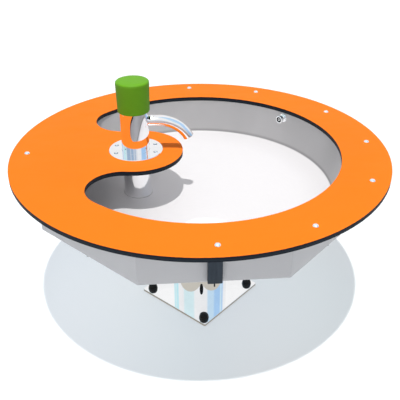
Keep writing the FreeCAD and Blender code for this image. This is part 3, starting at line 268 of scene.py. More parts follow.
def board_core():
    """Charcoal compact core: its layers are fine lines along the edge, lighter in the middle."""
    mat = material("board_core")
    middle_z, fade = 0.5681, 330.0       # the lighter layer's height; its fade per metre
    height = mat.place()["Z"]
    layers = mat.noise(scale=1.0, detail=2.0, rough=0.7, vector=mat.mapping((6.0, 6.0, 1500.0)))
    away = mat.math("ABSOLUTE", mat.minus(height, middle_z))
    middle = mat.math("SUBTRACT", 1.0, mat.times(away, fade), clamp=True)
    base = mat.mix(mat.span(layers), (0.0040, 0.0075, 0.013), (0.0075, 0.0125, 0.020))
    color = mat.mix(mat.times(middle, 0.5), base, (0.026, 0.034, 0.044))
    relief = mat.plus(layers, mat.times(mat.noise(scale=900.0, detail=2.0), 0.35))
    mat.principled(color, mat.span(mat.noise(scale=60.0), to=(0.46, 0.62)),
                   mat.bump(relief, strength=0.25, distance=0.0003), Specular_IOR_Level=0.14)


def basin_painted_light_and_patches(mat, color, place, level):
    """Painted light and shade at places in the basin, and broad patches on its wall."""
    out = mat.from_axis(place)
    # painted shade: a dark line where the wall meets the floor, and a darker outer floor towards +X
    foot = mat.times(mat.span(out, over=(0.4345, 0.4358)),
                     mat.span(out, to=(1.0, 0.0), over=(0.4368, 0.4382)))
    outer = mat.times(mat.span(out, over=(0.33, 0.436)),
                      mat.times(level, mat.span(place["X"], over=(-0.2, 0.15))))
    shade = mat.plus(mat.times(foot, 0.34), mat.times(outer, 0.11))
    color = mat.dim(color, mat.minus(1.0, shade))
    # painted light: the wall is brighter towards -Y, where it lies in the board's shade
    painted_front_light = mat.span(place["Y"], to=(0.35, 0.0), over=(-0.30, 0.0))
    color = mat.dim(color, mat.plus(1.0, mat.times(painted_front_light, mat.minus(1.0, level))))
    # broad patches on the wall, and painted shade that darkens the wall towards +X
    broad = mat.mapping(scale=(1.0, 1.0, 0.6), rotation=(4.3, 1.0, 0.0))
    patch = mat.span(mat.noise(scale=3.0, rough=0.5, vector=broad),
                     to=(0.90, 1.06), over=(0.35, 0.7))
    side = mat.span(place["X"], to=(1.06, 0.93), over=(-0.05, 0.42))
    patches_and_painted_shade = mat.minus(mat.times(patch, side), 1.0)
    return mat.dim(color, mat.plus(1.0, mat.times(patches_and_painted_shade, mat.minus(1.0, level))))


def satin(name, base, metallic, grain, tint, bump, specular, upright=1.0, lift=0.0):
    """Fine-ground stainless sheet: long grain lines, a few smudges and water marks.

    `upright` is the brightness of upright faces, a painted shade; `lift` a faint painted glow on
    level ones, which also brings the basin's painted light and shade.
    """
    mat = material(name)
    place, level = mat.place(), mat.level()
    lines = mat.noise(scale=46.0, detail=4.0, rough=0.7, vector=mat.mapping(grain))
    cloud = mat.noise(scale=5.0, detail=4.0, rough=0.6)
    marks = mat.noise(scale=38.0, detail=5.0, rough=0.7, distortion=0.6)
    color = mat.mix(mat.span(lines), scaled(base, 1.0 - tint), scaled(base, 1.0 + tint))
    color = mat.mix(mat.span(cloud, to=(0.0, 0.5), over=(0.35, 0.7)), color, scaled(base, 0.97))
    # painted shade: upright faces darker than level ones
    color = mat.dim(color, mat.plus(upright, mat.times(level, 1.0 - upright)))
    # the basin's painted light and shade come with the painted glow
    if lift:
        color = basin_painted_light_and_patches(mat, color, place, level)
    rough = mat.plus(mat.span(lines, to=(0.41, 0.52)),
                     mat.span(marks, to=(-0.03, 0.05), over=(0.3, 0.75)))
    # painted glow on level faces, pinkish, weaker in the bays towards -X where shade falls
    side = mat.span(place["X"], to=(0.30, 1.0), over=(-0.32, -0.13))
    mat.principled(color, rough, mat.bump(lines, strength=bump, distance=0.0002),
                   Metallic=metallic, Specular_IOR_Level=specular,
                   Emission_Color=(1.0, 0.955, 0.985),
                   Emission_Strength=mat.times(mat.times(level, lift), side))


def polished(name, base, rough, grain, bump):
    """Mirror-bright metal with faint smears."""
    mat = material(name)
    lines = mat.noise(scale=60.0, detail=4.0, rough=0.6, vector=mat.mapping(grain))
    smear = mat.noise(scale=14.0, detail=5.0, rough=0.65, distortion=0.8)
    color = mat.mix(mat.span(smear, over=(0.3, 0.75)), base, scaled(base, 0.955))
    roughness = mat.plus(mat.span(smear, to=(rough * 0.6, rough * 2.0), over=(0.35, 0.75)),
                         mat.span(lines, to=(0.0, rough * 0.5)))
    mat.principled(color, roughness, mat.bump(lines, strength=bump, distance=0.0001),
                   Metallic=1.0)


def metal(name, base, rough, bump, scale, dark):
    """Turned, cast or drawn metal with dull patches and a little grime."""
    mat = material(name)
    fine = mat.noise(scale=scale, detail=4.0, rough=0.65)
    patches = mat.noise(scale=scale * 0.12, rough=0.6)
    color = mat.mix(mat.span(patches), base, scaled(base, dark))
    roughness = mat.plus(mat.span(fine, to=(rough * 0.8, rough * 1.25)),
                         mat.span(patches, to=(-0.03, 0.06)))
    mat.principled(color, roughness, mat.bump(fine, strength=bump, distance=0.00025),
                   Metallic=1.0)


def welded_steel():
    """Pickled structure: grey, slightly blotched, with straw-coloured patches."""
    mat = material("welded_steel")
    fine = mat.noise(scale=120.0, detail=5.0, rough=0.7)
    patches = mat.noise(scale=9.0, detail=4.0, rough=0.6, distortion=0.5)
    color = mat.mix(mat.span(fine), (0.40, 0.405, 0.415), (0.50, 0.505, 0.51))
    color = mat.mix(mat.span(patches, to=(0.0, 0.45), over=(0.5, 0.75)), color,
                    (0.47, 0.43, 0.36))
    mat.principled(color, mat.span(fine, to=(0.38, 0.55)),
                   mat.bump(fine, strength=0.18, distance=0.0004), Metallic=0.75)


def weld_bead():
    mat = material("weld_bead")
    fine = mat.noise(scale=420.0, rough=0.6)
    patches = mat.noise(scale=60.0, rough=0.6)
    color = mat.mix(mat.span(patches), (0.60, 0.58, 0.56), (0.46, 0.42, 0.38))
    mat.principled(color, mat.span(fine, to=(0.25, 0.42)),
                   mat.bump(fine, strength=0.2, distance=0.0003), Metallic=0.9)


def plastic(name, base, rough, bump, scale, spread, specular, upright=1.0):
    """Moulded plastic: fine spark-eroded texture and soft scuffs."""
    mat = material(name)
    skin = mat.noise(scale=scale, detail=2.0, rough=0.6)
    scuff = mat.noise(scale=26.0, detail=6.0, rough=0.72, distortion=0.7)
    color = mat.mix(mat.span(scuff, over=(0.35, 0.75)),
                    scaled(base, 1.0 - spread), scaled(base, 1.0 + spread))
    if upright < 1.0:
        # painted shade: darker on upright faces and where the surface turns away from the view
        facing = mat.node("LayerWeight", Blend=0.35).outputs["Facing"]
        side = mat.plus(upright, mat.times(mat.level(), 1.0 - upright))
        rim = mat.span(facing, to=(1.0, 0.78), over=(0.45, 1.0))
        color = mat.dim(color, mat.times(side, rim))
    roughness = mat.plus(mat.span(scuff, to=(rough - 0.05, rough + 0.08)),
                         mat.span(skin, to=(-0.02, 0.02)))
    mat.principled(color, roughness, mat.bump(skin, strength=bump, distance=0.00022),
                   Specular_IOR_Level=specular, Coat_Weight=0.0, Coat_Roughness=0.25)


def cover_board():
    mat = material("cover_board")
    fine = mat.noise(scale=700.0, detail=2.0, rough=0.6)
    streak = mat.noise(scale=22.0, detail=4.0, rough=0.6, vector=mat.mapping((6.0, 6.0, 0.7)))
    color = mat.mix(mat.span(streak), (0.026, 0.037, 0.052), (0.042, 0.056, 0.074))
    mat.principled(color, mat.span(streak, to=(0.42, 0.55)),
                   mat.bump(fine, strength=0.15, distance=0.0003), Specular_IOR_Level=0.2)


def hose_braid():
    """Woven steel cover: the mesh has the strands, the shader the wires within a strand."""
    mat = material("hose_braid")
    diagonal = mat.mapping(scale=(1.0, 1.0, 1.0), rotation=(0, 0, 0.785), space="UV")
    wave = mat.node("TexWave", Vector=diagonal, Scale=9.0)
    wave.wave_type = "BANDS"
    wave.bands_direction = "X"
    wires = wave.outputs["Fac"]
    dull = mat.noise(scale=300.0)
    color = mat.mix(wires, (0.30, 0.31, 0.325), (0.62, 0.63, 0.65))
    color = mat.mix(mat.span(dull, to=(0.0, 0.5)), color, (0.40, 0.40, 0.40))
    mat.principled(color, mat.span(dull, to=(0.28, 0.42)),
                   mat.bump(wires, strength=0.3, distance=0.0003), Metallic=0.85)


# name, colour, roughness, grain stretch along X Y Z, bump strength
POLISHED = [
    ("polished_steel", (0.92, 0.93, 0.945), 0.018, (1.0, 1.0, 30.0), 0.008),
    ("polished_post", (0.95, 0.95, 0.965), 0.012, (1.0, 1.0, 4.0), 0.004),
    ("polished_plate", (0.95, 0.955, 0.965), 0.03, (30.0, 1.0, 1.0), 0.008),
    ("bright_bolt", (0.97, 0.99, 1.0), 0.10, (1.0, 1.0, 30.0), 0.006),
]
# name, colour, roughness, bump strength, noise scale, brightness of the dull patches
METALS = [
    ("fastener_steel", (0.74, 0.75, 0.765), 0.20, 0.05, 220.0, 0.9),
    ("brass", (0.78, 0.60, 0.30), 0.24, 0.06, 180.0, 0.82),
    ("plate_edge", (0.56, 0.54, 0.52), 0.34, 0.08, 300.0, 0.85),
    # painted reflection: the blue-grey ring on the flange screws' edges
    ("screw_edge", (0.22, 0.28, 0.36), 0.30, 0.05, 300.0, 0.9),
    ("spring_steel", (0.45, 0.45, 0.46), 0.28, 0.05, 300.0, 0.85),
]
# name, colour, roughness, bump strength, noise scale, colour spread, specular level
# (and brightness of upright faces, a painted shade)
PLASTICS = [
    ("green_cap", (0.138, 0.375, 0.016), 0.46, 0.10, 950.0, 0.04, 0.10, 0.80),
    ("black_plastic", (0.008, 0.0085, 0.010), 0.30, 0.18, 800.0, 0.25, 0.5),
    ("cap_black", (0.0022, 0.0022, 0.0026), 0.16, 0.03, 700.0, 0.2, 0.20),
    ("matt_black", (0.004, 0.004, 0.0045), 0.75, 0.1, 900.0, 0.2, 0.03),
    ("waste_plastic", (0.34, 0.36, 0.38), 0.38, 0.06, 400.0, 0.05, 0.45),
    ("rubber", (0.020, 0.020, 0.022), 0.68, 0.25, 1200.0, 0.15, 0.3),
    ("bearing_plastic", (0.80, 0.79, 0.75), 0.36, 0.05, 500.0, 0.03, 0.45),
]

orange_laminate()
board_core()
# the basin: painted shade on upright faces and a faint painted glow on level ones
satin("satin_basin", base=(0.60, 0.59, 0.60), metallic=0.10, grain=(1.0, 1.0, 40.0), tint=0.02,
      bump=0.06, specular=0.15, upright=0.80, lift=0.20)
satin("satin_skirt", base=(0.560, 0.552, 0.564), metallic=0.2, grain=(1.0, 1.0, 60.0),
      tint=0.03, bump=0.10, specular=0.25)
welded_steel()
weld_bead()
cover_board()
hose_braid()
for maker, table in ((polished, POLISHED), (metal, METALS), (plastic, PLASTICS)):
    for row in table:
        maker(*row)
# CAD slots whose material has another name
MAT["orange_facing"] = MAT["orange_laminate"]
MAT["satin_steel"] = MAT["satin_skirt"]
MAT["hose"] = MAT["hose_braid"]


# ============================================================ objects from shapes
# A shape is (verts, faces) in millimetres.
def add_shape(bm, verts, faces):
    points = [bm.verts.new((x * MM, y * MM, z * MM)) for x, y, z in verts]
    for face in faces:
        face = [i for k, i in enumerate(face) if i != face[k - 1]]
        if len(set(face)) >= 3:
            try:
                bm.faces.new([points[i] for i in face])
            except ValueError:
                pass    # the triangulation may give the same face twice


def shade(mesh, angle, one_material=False):
    """Smooth shading, with edges sharper than the angle (degrees) kept hard."""
    for poly in mesh.polygons:
        poly.use_smooth = True
        if one_material:
            poly.material_index = 0
    mesh.set_sharp_from_angle(angle=radians(angle))


def finish_mesh(bm, name, smooth=32.0):
    mesh = bpy.data.meshes.new(name)
    bmesh.ops.recalc_face_normals(bm, faces=bm.faces)
    bm.to_mesh(mesh)
    bm.free()
    shade(mesh, smooth)
    return mesh


def link_object(name, mesh):
    obj = bpy.data.objects.new(name, mesh)
    scene.collection.objects.link(obj)
    return obj


def settle(obj, body, node):
    weights = obj.modifiers.new("face_weights", "WEIGHTED_NORMAL")
    weights.mode = "FACE_AREA"
    weights.weight = 60
    weights.keep_sharp = True
    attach(obj, body)
    if node:
        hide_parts(node)


def piece(node, shapes, mat, name=None, body=TABLE, smooth=32.0):
    """One object made of shapes, standing for a CAD node if one is given."""
    name = name or node + "_v"
    bm = bmesh.new()
    for verts, faces in shapes:
        add_shape(bm, verts, faces)
    loose = [v for v in bm.verts if not v.link_faces]
    if loose:
        bmesh.ops.delete(bm, geom=loose, context="VERTS")
    obj = link_object(name, finish_mesh(bm, name, smooth))
    obj.data.materials.append(MAT[mat])
    settle(obj, body, node)
    return obj


def paint(obj, mat, chosen):
    """Gives a second material to the faces that pass the test."""
    obj.data.materials.append(MAT[mat])
    for poly in obj.data.polygons:
        if chosen(poly):
            poly.material_index = 1


def boolean_cut(obj, cutters, smooth=32.0):
    """Subtracts shapes from an object and applies the result to its mesh."""
    helpers = []
    for i, (verts, faces) in enumerate(cutters):
        bm = bmesh.new()
        add_shape(bm, verts, faces)
        helper = link_object("cutter%d" % i, finish_mesh(bm, "cutter%d" % i))
        helpers.append(helper)
        cut = obj.modifiers.new("cut%d" % i, "BOOLEAN")
        cut.object = helper
        cut.operation = "DIFFERENCE"
        cut.solver = "EXACT"
    for mod in obj.modifiers:
        mod.show_viewport = mod.type == "BOOLEAN"
    depsgraph = bpy.context.evaluated_depsgraph_get()
    mesh = bpy.data.meshes.new_from_object(obj.evaluated_get(depsgraph))
    for mod in list(obj.modifiers):
        mod.show_viewport = True
        if mod.type == "BOOLEAN":
            obj.modifiers.remove(mod)
    mats = list(obj.data.materials)
    obj.data = mesh
    if not mesh.materials:
        for mat in mats:
            mesh.materials.append(mat)
    shade(mesh, smooth, one_material=True)
    for helper in helpers:
        data = helper.data
        bpy.data.objects.remove(helper)
        bpy.data.meshes.remove(data)


def soften_node(node, width):
    """The node's own shape with its hard edges bevelled, as a new mesh that stands for it."""
    bm = bmesh.new()
    bm.from_mesh(NODE[node].data)
    bmesh.ops.remove_doubles(bm, verts=bm.verts, dist=2e-7)
    bmesh.ops.dissolve_degenerate(bm, dist=1e-7, edges=bm.edges)
    bmesh.ops.dissolve_limit(bm, angle_limit=radians(0.8), verts=bm.verts, edges=bm.edges)
    mesh = bpy.data.meshes.new(node + "_soft")
    bmesh.ops.recalc_face_normals(bm, faces=bm.faces)
    bm.to_mesh(mesh)
    bm.free()
    if "custom_normal" in mesh.attributes:
        mesh.attributes.remove(mesh.attributes["custom_normal"])
    obj = link_object(node + "_v", mesh)
    bevel = obj.modifiers.new("soft", "BEVEL")
    bevel.width = width * MM
    bevel.segments = 2
    bevel.limit_method = "ANGLE"
    bevel.angle_limit = radians(38.0)
    bevel.use_clamp_overlap = True
    bevel.miter_outer = "MITER_ARC"
    depsgraph = bpy.context.evaluated_depsgraph_get()
    mesh = bpy.data.meshes.new_from_object(obj.evaluated_get(depsgraph))
    obj.modifiers.clear()
    obj.data = mesh
    mesh.materials.clear()
    mesh.materials.append(MAT[SLOT_OF[node]])
    shade(mesh, 34.0, one_material=True)
    settle(obj, BODY_OF[node], node)


# ============================================================ outlines
def arc(cx, cy, radius, start, end, steps):
    """steps + 1 points between two angles in degrees."""
    angles = [radians(start + (end - start) * k / steps) for k in range(steps + 1)]
    return [(cx + radius * cos(a), cy + radius * sin(a)) for a in angles]


def circle(cx, cy, radius, count=48, hole=False):
    angles = [tau * k / count for k in range(count)]
    points = [(cx + radius * cos(a), cy + radius * sin(a)) for a in angles]
    return points[::-1] if hole else points


def corner_arc(corner, back, ahead, reach, depth):
    """Centre, the arms to both ends, and angle of the arc that replaces a corner."""
    centre = corner + (back + ahead).normalized() * depth
    start = corner + back * reach - centre
    end = corner + ahead * reach - centre
    return centre, start, end, start.angle(end)


def on_arc(centre, start, end, angle, t):
    return centre + (start * sin((1 - t) * angle) + end * sin(t * angle)) / sin(angle)


def rounded(points, radii, steps=4, closed=True):
    """Corners of an outline replaced by arcs; radii is one number or one per corner."""
    count = len(points)
    if not isinstance(radii, (list, tuple)):
        radii = [radii] * count
    out = []
    for i in range(count):
        corner = Vector(points[i])
        back = Vector(points[i - 1]) - corner
        ahead = Vector(points[(i + 1) % count]) - corner
        back_length, ahead_length = back.length, ahead.length
        open_end = not closed and i in (0, count - 1)
        if radii[i] <= 0 or open_end or back_length < 1e-9 or ahead_length < 1e-9:
            out.append(tuple(corner))
            continue
        back, ahead = back / back_length, ahead / ahead_length
        angle = acos(max(-1.0, min(1.0, back.dot(ahead))))
        if abs(pi - angle) < 1e-3 or angle < 1e-3:
            out.append(tuple(corner))
            continue
        reach = min(radii[i] / tan(angle / 2), 0.48 * back_length, 0.48 * ahead_length)
        radius = reach * tan(angle / 2)
        bend = corner_arc(corner, back, ahead, reach, radius / sin(angle / 2))
        out += [tuple(on_arc(*bend, k / steps)) for k in range(steps + 1)]
    return out


def softened(rows, steps=3):
    """An outline from rows of (radius, height, corner radius)."""
    return rounded([row[:2] for row in rows], [row[2] for row in rows], steps)


def hexagon(angle, apothem):
    """Distance from the centre to a hexagon's side at an angle."""
    return apothem / cos(((angle + pi / 6) % (pi / 3)) - pi / 6)


def hex_recess(low, high, nominal, above=0.0):
    """Lathe shape: radii between low and high become a hexagon of 1.55 apothem."""
    def shape(angle, r, z):
        if low < r < high and z > above:
            return hexagon(angle, 1.55) * (r / nominal), z
        return r, z
    return shape


# ============================================================ shapes
def lathe(profile, segs=64, at=(0, 0, 0), turn=None, shape=None, half_step_row=None):
    """A closed (radius, height) outline turned about Z, then moved.

    shape(angle, r, z) may change a point; half_step_row is turned by half a segment.
    """
    verts, rings = [], []
    for i, (r, z) in enumerate(profile):
        first = len(verts)
        if r < 1e-6:
            verts.append(Vector((0, 0, z)))
        else:
            shift = 0.5 if i == half_step_row else 0.0
            for k in range(segs):
                a = tau * (k + shift) / segs
                rr, zz = shape(a, r, z) if shape else (r, z)
                verts.append(Vector((rr * cos(a), rr * sin(a), zz)))
        rings.append(range(first, len(verts)))
    faces = []
    for i, ring in enumerate(rings):
        above = rings[(i + 1) % len(rings)]
        if len(ring) == 1 and len(above) == 1:
            continue
        for k in range(segs):
            k2 = (k + 1) % segs
            if len(ring) == 1:
                faces.append((ring[0], above[k2], above[k]))
            elif len(above) == 1:
                faces.append((ring[k], ring[k2], above[0]))
            else:
                faces.append((ring[k], ring[k2], above[k2], above[k]))
    if turn is not None:
        verts = [turn @ v for v in verts]
    origin = Vector(at)
    return [tuple(v + origin) for v in verts], faces


def axis_turn(direction):
    """Rotation that takes local Z to a direction."""
    return Vector((0, 0, 1)).rotation_difference(Vector(direction).normalized()).to_matrix()


def plan_normals(loop):
    """Normals away from the material, longer at corners so that offsets stay parallel."""
    out = []
    for i in range(len(loop)):
        before, here, after = Vector(loop[i - 1]), Vector(loop[i]), Vector(loop[(i + 1) % len(loop)])
        arrive, leave = (here - before).normalized(), (after - here).normalized()
        first, second = Vector((arrive.y, -arrive.x)), Vector((leave.y, -leave.x))
        stretch = max(0.35, sqrt(max(0.0, (1 + first.dot(second)) / 2)))
        out.append((first + second).normalized() / stretch)
    return out


def slab(loops, bottom, top, bottom_edge, top_edge, steps=3):
    """A flat plate with rounded edges: outer loop anticlockwise, holes clockwise."""
    lower, upper = [(0.0, bottom)], [(0.0, top)]
    turns = [pi / 2 * k / steps for k in range(steps + 1)]
    if bottom_edge > 0:
        lower = [(bottom_edge * (1 - sin(a)), bottom + bottom_edge * (1 - cos(a)))
                 for a in turns]
    if top_edge > 0:
        upper = [(top_edge * (1 - cos(a)), top - top_edge * (1 - sin(a))) for a in turns]
    rows = lower + upper            # (inset, height)
    verts, faces, starts = [], [], []
    for loop in loops:
        normals = plan_normals(loop)
        count, base = len(loop), len(verts)
        for inset, z in rows:
            for (x, y), normal in zip(loop, normals):
                verts.append((x - normal.x * inset, y - normal.y * inset, z))
        for j in range(len(rows) - 1):
            low, high = base + j * count, base + (j + 1) * count
            for i in range(count):
                i2 = (i + 1) % count
                faces.append((low + i, low + i2, high + i2, high + i))
        starts.append((base, count))
    for row in (0, len(rows) - 1):
        polys, index = [], []
        for base, count in starts:
            ids = [base + row * count + i for i in range(count)]
            polys.append([Vector((verts[i][0], verts[i][1], 0.0)) for i in ids])
            index += ids
        for triangle in tessellate_polygon(polys):
            faces.append(tuple(index[i] for i in triangle))
    return verts, faces


def frames(path, closed=False):
    """Place, tangent and two side vectors at each point of a path, without twist."""
    points = [Vector(p) for p in path]
    last = len(points) - 1
    tangents = []
    for i in range(last + 1):
        before = points[i - 1] if i or closed else points[0]
        after = points[(i + 1) % (last + 1)] if i < last or closed else points[last]
        tangents.append((after - before).normalized())
    tangent = tangents[0]
    reference = Vector((0, 0, 1)) if abs(tangent.z) < 0.9 else Vector((1, 0, 0))
    side = (reference - tangent * reference.dot(tangent)).normalized()
    out = []
    for i, tangent in enumerate(tangents):
        if i:
            side = tangents[i - 1].rotation_difference(tangent) @ side
            side = (side - tangent * side.dot(tangent)).normalized()
        out.append((points[i], tangent, side.copy(), tangent.cross(side)))
    return out


def ring(station, radius, segs, along=0.0, wobble=None):
    """A circle about one of the frames, moved along its tangent."""
    place, tangent, side, other = station
    out = []
    for k in range(segs):
        a = tau * k / segs
        r = radius + (wobble(a) if wobble else 0.0)
        out.append(tuple(place + tangent * along + side * (r * cos(a)) + other * (r * sin(a))))
    return out


def skin(rings, closed=True):
    """Quads between rings of equal count."""
    count, segs = len(rings), len(rings[0])
    faces = []
    for i in range(count if closed else count - 1):
        j = (i + 1) % count
        for k in range(segs):
            k2 = (k + 1) % segs
            faces.append((i * segs + k, i * segs + k2, j * segs + k2, j * segs + k))
    return [p for points in rings for p in points], faces


def lengths(stations):
    """Distance along the path at each frame."""
    out = [0.0]
    for before, here in zip(stations, stations[1:]):
        out.append(out[-1] + (here[0] - before[0]).length)
    return out


def rod(path, radius, segs=24, closed=False, wobble=None):
    """A round bar; wobble(angle, length) is added to its radius."""
    stations = frames(path, closed)
    rings = []
    for station, length in zip(stations, lengths(stations)):
        ripple = (lambda a, s=length: wobble(a, s)) if wobble else None
        rings.append(ring(station, radius, segs, wobble=ripple))
    verts, faces = skin(rings, closed)
    if not closed:
        last = (len(rings) - 1) * segs
        faces.append(tuple(range(segs))[::-1])
        faces.append(tuple(last + k for k in range(segs)))
    return verts, faces


def cylinder(at, direction, radius, length, segs=64):
    return rod([Vector(at), Vector(at) + Vector(direction).normalized() * length], radius, segs)


def pipe(path, outer, inner, segs, edge, wobble=None):
    """A tube with a wall and softened ends; wobble is as for rod."""
    stations = frames(path)
    first, last = stations[0], stations[-1]
    final = len(stations) - 1
    rings = [ring(first, inner, segs, edge), ring(first, inner + edge, segs),
             ring(first, outer - edge, segs)]
    for i, (station, length) in enumerate(zip(stations, lengths(stations))):
        along = edge if i == 0 else (-edge if i == final else 0.0)
        ripple = (lambda a, s=length: wobble(a, s)) if wobble and 0 < i < final else None
        rings.append(ring(station, outer, segs, along, ripple))
    rings += [ring(last, outer - edge, segs), ring(last, inner + edge, segs)]
    for i in range(final, 0, -1):
        rings.append(ring(stations[i], inner, segs, -edge if i == final else 0.0))
    return skin(rings)


def bent_path(points, bend, step, degrees_step):
    """Straights joined by circular bends, as evenly spaced points."""
    corners = [Vector(p) for p in points]
    out = [corners[0]]

    def straight(end):
        start = out[-1]
        line = end - start
        count = max(1, int(line.length / step))
        for j in range(1, count + 1):
            out.append(start + line * (j / count))

    for before, corner, after in zip(corners, corners[1:], corners[2:]):
        back, ahead = (before - corner).normalized(), (after - corner).normalized()
        angle = back.angle(ahead)
        reach = bend / tan(angle / 2)
        turn = corner_arc(corner, back, ahead, reach, bend / sin(angle / 2))
        straight(corner + back * reach)
        count = max(4, int(degrees(turn[3]) / degrees_step))
        out += [on_arc(*turn, j / count) for j in range(1, count + 1)]
    straight(corners[-1])
    return out


# ============================================================ table top board
# the bay circles touch the opening's circle inside and the bulb's outside
BAY_FROM_CENTRE, BAY_FROM_POST = OPENING_R - BAY_R, BULB_R + BAY_R
BAY_X = ((BAY_FROM_CENTRE * BAY_FROM_CENTRE - BAY_FROM_POST * BAY_FROM_POST + POST_X * POST_X)
         / (2 * POST_X))
BAY_Y = sqrt(BAY_FROM_CENTRE * BAY_FROM_CENTRE - BAY_X * BAY_X)
# directions of the touching points, in degrees
OPENING_END = degrees(atan2(BAY_Y, BAY_X))
BULB_END = degrees(atan2(BAY_Y, BAY_X - POST_X))
BAY_END = degrees(atan2(-BAY_Y, POST_X - BAY_X)) + 360


def opening_loop():
    """The opening with its two bays either side of the peninsula, clockwise as a hole."""
    points = arc(0, 0, OPENING_R, -OPENING_END, OPENING_END, 190)[:-1]
    points += arc(BAY_X, BAY_Y, BAY_R, OPENING_END, BAY_END, 44)[:-1]
    points += arc(POST_X, 0, BULB_R, BULB_END, -BULB_END, 84)[:-1]
    points += arc(BAY_X, -BAY_Y, BAY_R, 360 - BAY_END, 360 - OPENING_END, 44)[:-1]
    return points[::-1]


BOARD_LOOPS = [circle(0, 0, BOARD_R, 320), opening_loop()]
BOARD_LOOPS += [circle(x, y, 5.5, 28, hole=True) for x, y in RING_BOLTS]
BOARD_LOOPS += [circle(POST_X, 0, 44.7, 80, hole=True)]
BOARD_LOOPS += [circle(x, y, 4.4, 24, hole=True) for x, y in FLANGE_SCREWS]

core = piece("table_core", [slab(BOARD_LOOPS, BOARD_BOTTOM, FACING_BOTTOM, 1.1, 0.0, 4)],
             "board_core", name="board_core")
facing = piece("table_decor", [slab(BOARD_LOOPS, FACING_BOTTOM, BOARD_TOP, 0.0, 0.45, 3)],
               "orange_laminate", name="board_facing")
# a hidden sheet casts the board's shadow instead
core.visible_shadow = False
facing.visible_shadow = False

# ring bolts: low domed heads over a thin flange, small star recess with a pin
# radius, height, corner radius
RING_BOLT = [
    (0.0, 545.0, 0), (4.5, 545.0, 0.2), (5.0, 545.6, 0.2), (5.0, BOARD_TOP, 0),
    (8.7, BOARD_TOP, 0.1), (8.7, 577.8, 0.5), (8.1, 578.9, 1.5), (6.9, 580.4, 2.0),
    (4.9, 581.6, 2.0), (3.0, 582.15, 0.5), (2.05, 582.2, 0.15), (1.95, 580.6, 0.1),
    (0.9, 580.6, 0.1), (0.75, 581.4, 0.2), (0.0, 581.4, 0),
]


def star(angle, r, z):
    """Six-lobed recess near the head's centre."""
    if 1.5 < r < 2.3 and z > 580:
        return r * (1 + 0.13 * cos(6 * angle)), z
    return r, z


piece("ring_bolts", [lathe(softened(RING_BOLT), 48, (x, y, 0), shape=star)
                     for x, y in RING_BOLTS], "bright_bolt", smooth=40)

# ============================================================ rim collar and skirt
collar = [circle(0, 0, 575.0, 240), circle(0, 0, BASIN_TOP_R, 200, hole=True)]
collar += [circle(x, y, 5.5, 24, hole=True) for x, y in RING_BOLTS]
piece("rim_flange", [slab(collar, COLLAR_BOTTOM, BOARD_BOTTOM, 0.6, 0.0, 3)], "welded_steel")


def skirt_line(apothem, bend, half_gap=2.2):
    """Octagon from the seam round to the seam, with bent corners."""
    corner_r = apothem / cos(pi / 8)
    angles = [radians(-67.5 + 45 * k) for k in range(8)]
    points = [(half_gap, -apothem)]
    points += [(corner_r * cos(a), corner_r * sin(a)) for a in angles]
    points.append((-half_gap, -apothem))
    return rounded(points, [0] + [bend] * 8 + [0], 6, closed=False)


skirt = skirt_line(SKIRT_APOTHEM, 7.0) + skirt_line(SKIRT_APOTHEM - 2.0, 5.0)[::-1]
piece("skirt_panel", [slab([skirt], 420.5, COLLAR_BOTTOM, 0.45, 0.3, 2)], "satin_skirt",
      smooth=20)

# seam cover: a strip of board with eased front edges
strip = rounded([(-20.0, -494.55), (-20.0, -509.5), (20.0, -509.5), (20.0, -494.55)],
                [0, 2.2, 2.2, 0], 5)
piece("seam_cover", [slab([strip], 424.0, 557.8, 1.0, 0.5, 4)], "cover_board")

# rubber seal: stem in the seam, head behind it
stem = rounded([(-2.0, -494.5), (2.0, -494.5), (2.0, -490.9), (-2.0, -490.9)],
               [0.9, 0.9, 0, 0], 4)
head = rounded([(-7.0, -492.45), (7.0, -492.45), (7.0, -490.5), (-7.0, -490.5)],
               [0, 0, 0.9, 0.9], 4)
piece("seam_seal", [slab([stem], 402.0, 556.0, 0.6, 0.3), slab([head], 426.0, 556.0, 0.5, 0.3)],
      "rubber")


# ============================================================ basin
def floor_z(x, y):
    """Height of the floor, whose level circles shrink from the wall to the drain seat."""
    low, high = 0.0, 1.0
    for _ in range(50):
        t = (low + high) / 2
        if hypot(x, y - DRAIN_Y * t) < FLOOR_R - (FLOOR_R - DRAIN_R) * t:
            low = t
        else:
            high = t
    return FLOOR_Z + (DRAIN_Z - FLOOR_Z) * ((low + high) / 2)


def bowl_rows(angle):
    """Points down the basin's inside at one angle: wall, bent knee, floor, drain seat."""
    c, s = cos(angle), sin(angle)
    knee_reach, knee_steps = 5, 7

    def seat_point(radius):
        return Vector((radius * c, DRAIN_Y + radius * s, DRAIN_Z))

    top = Vector((BASIN_TOP_R * c, BASIN_TOP_R * s, COLLAR_BOTTOM))
    knee = Vector((FLOOR_R * c, FLOOR_R * s, FLOOR_Z))
    seat = seat_point(DRAIN_R)
    up, inward = (top - knee).normalized(), (seat - knee)
    length = inward.length
    inward = inward / length
    start, end = knee + up * knee_reach, knee + inward * min(knee_reach, length * 0.3)
    rows = [top + (knee + up * knee_reach - top) * (k / 5) for k in range(6)]
    for k in range(1, knee_steps):
        t = k / knee_steps
        rows.append(start * (1 - t) ** 2 + knee * (2 * t * (1 - t)) + end * t * t)
    floor_end = seat - inward * 3.0
    rows += [end + (floor_end - end) * (k / 8) for k in range(9)]
    rows.append(seat + (Vector((-c, -s, 0)) * 0.8))
    rows += [seat_point(36.0), seat_point(30.5)]
    return rows


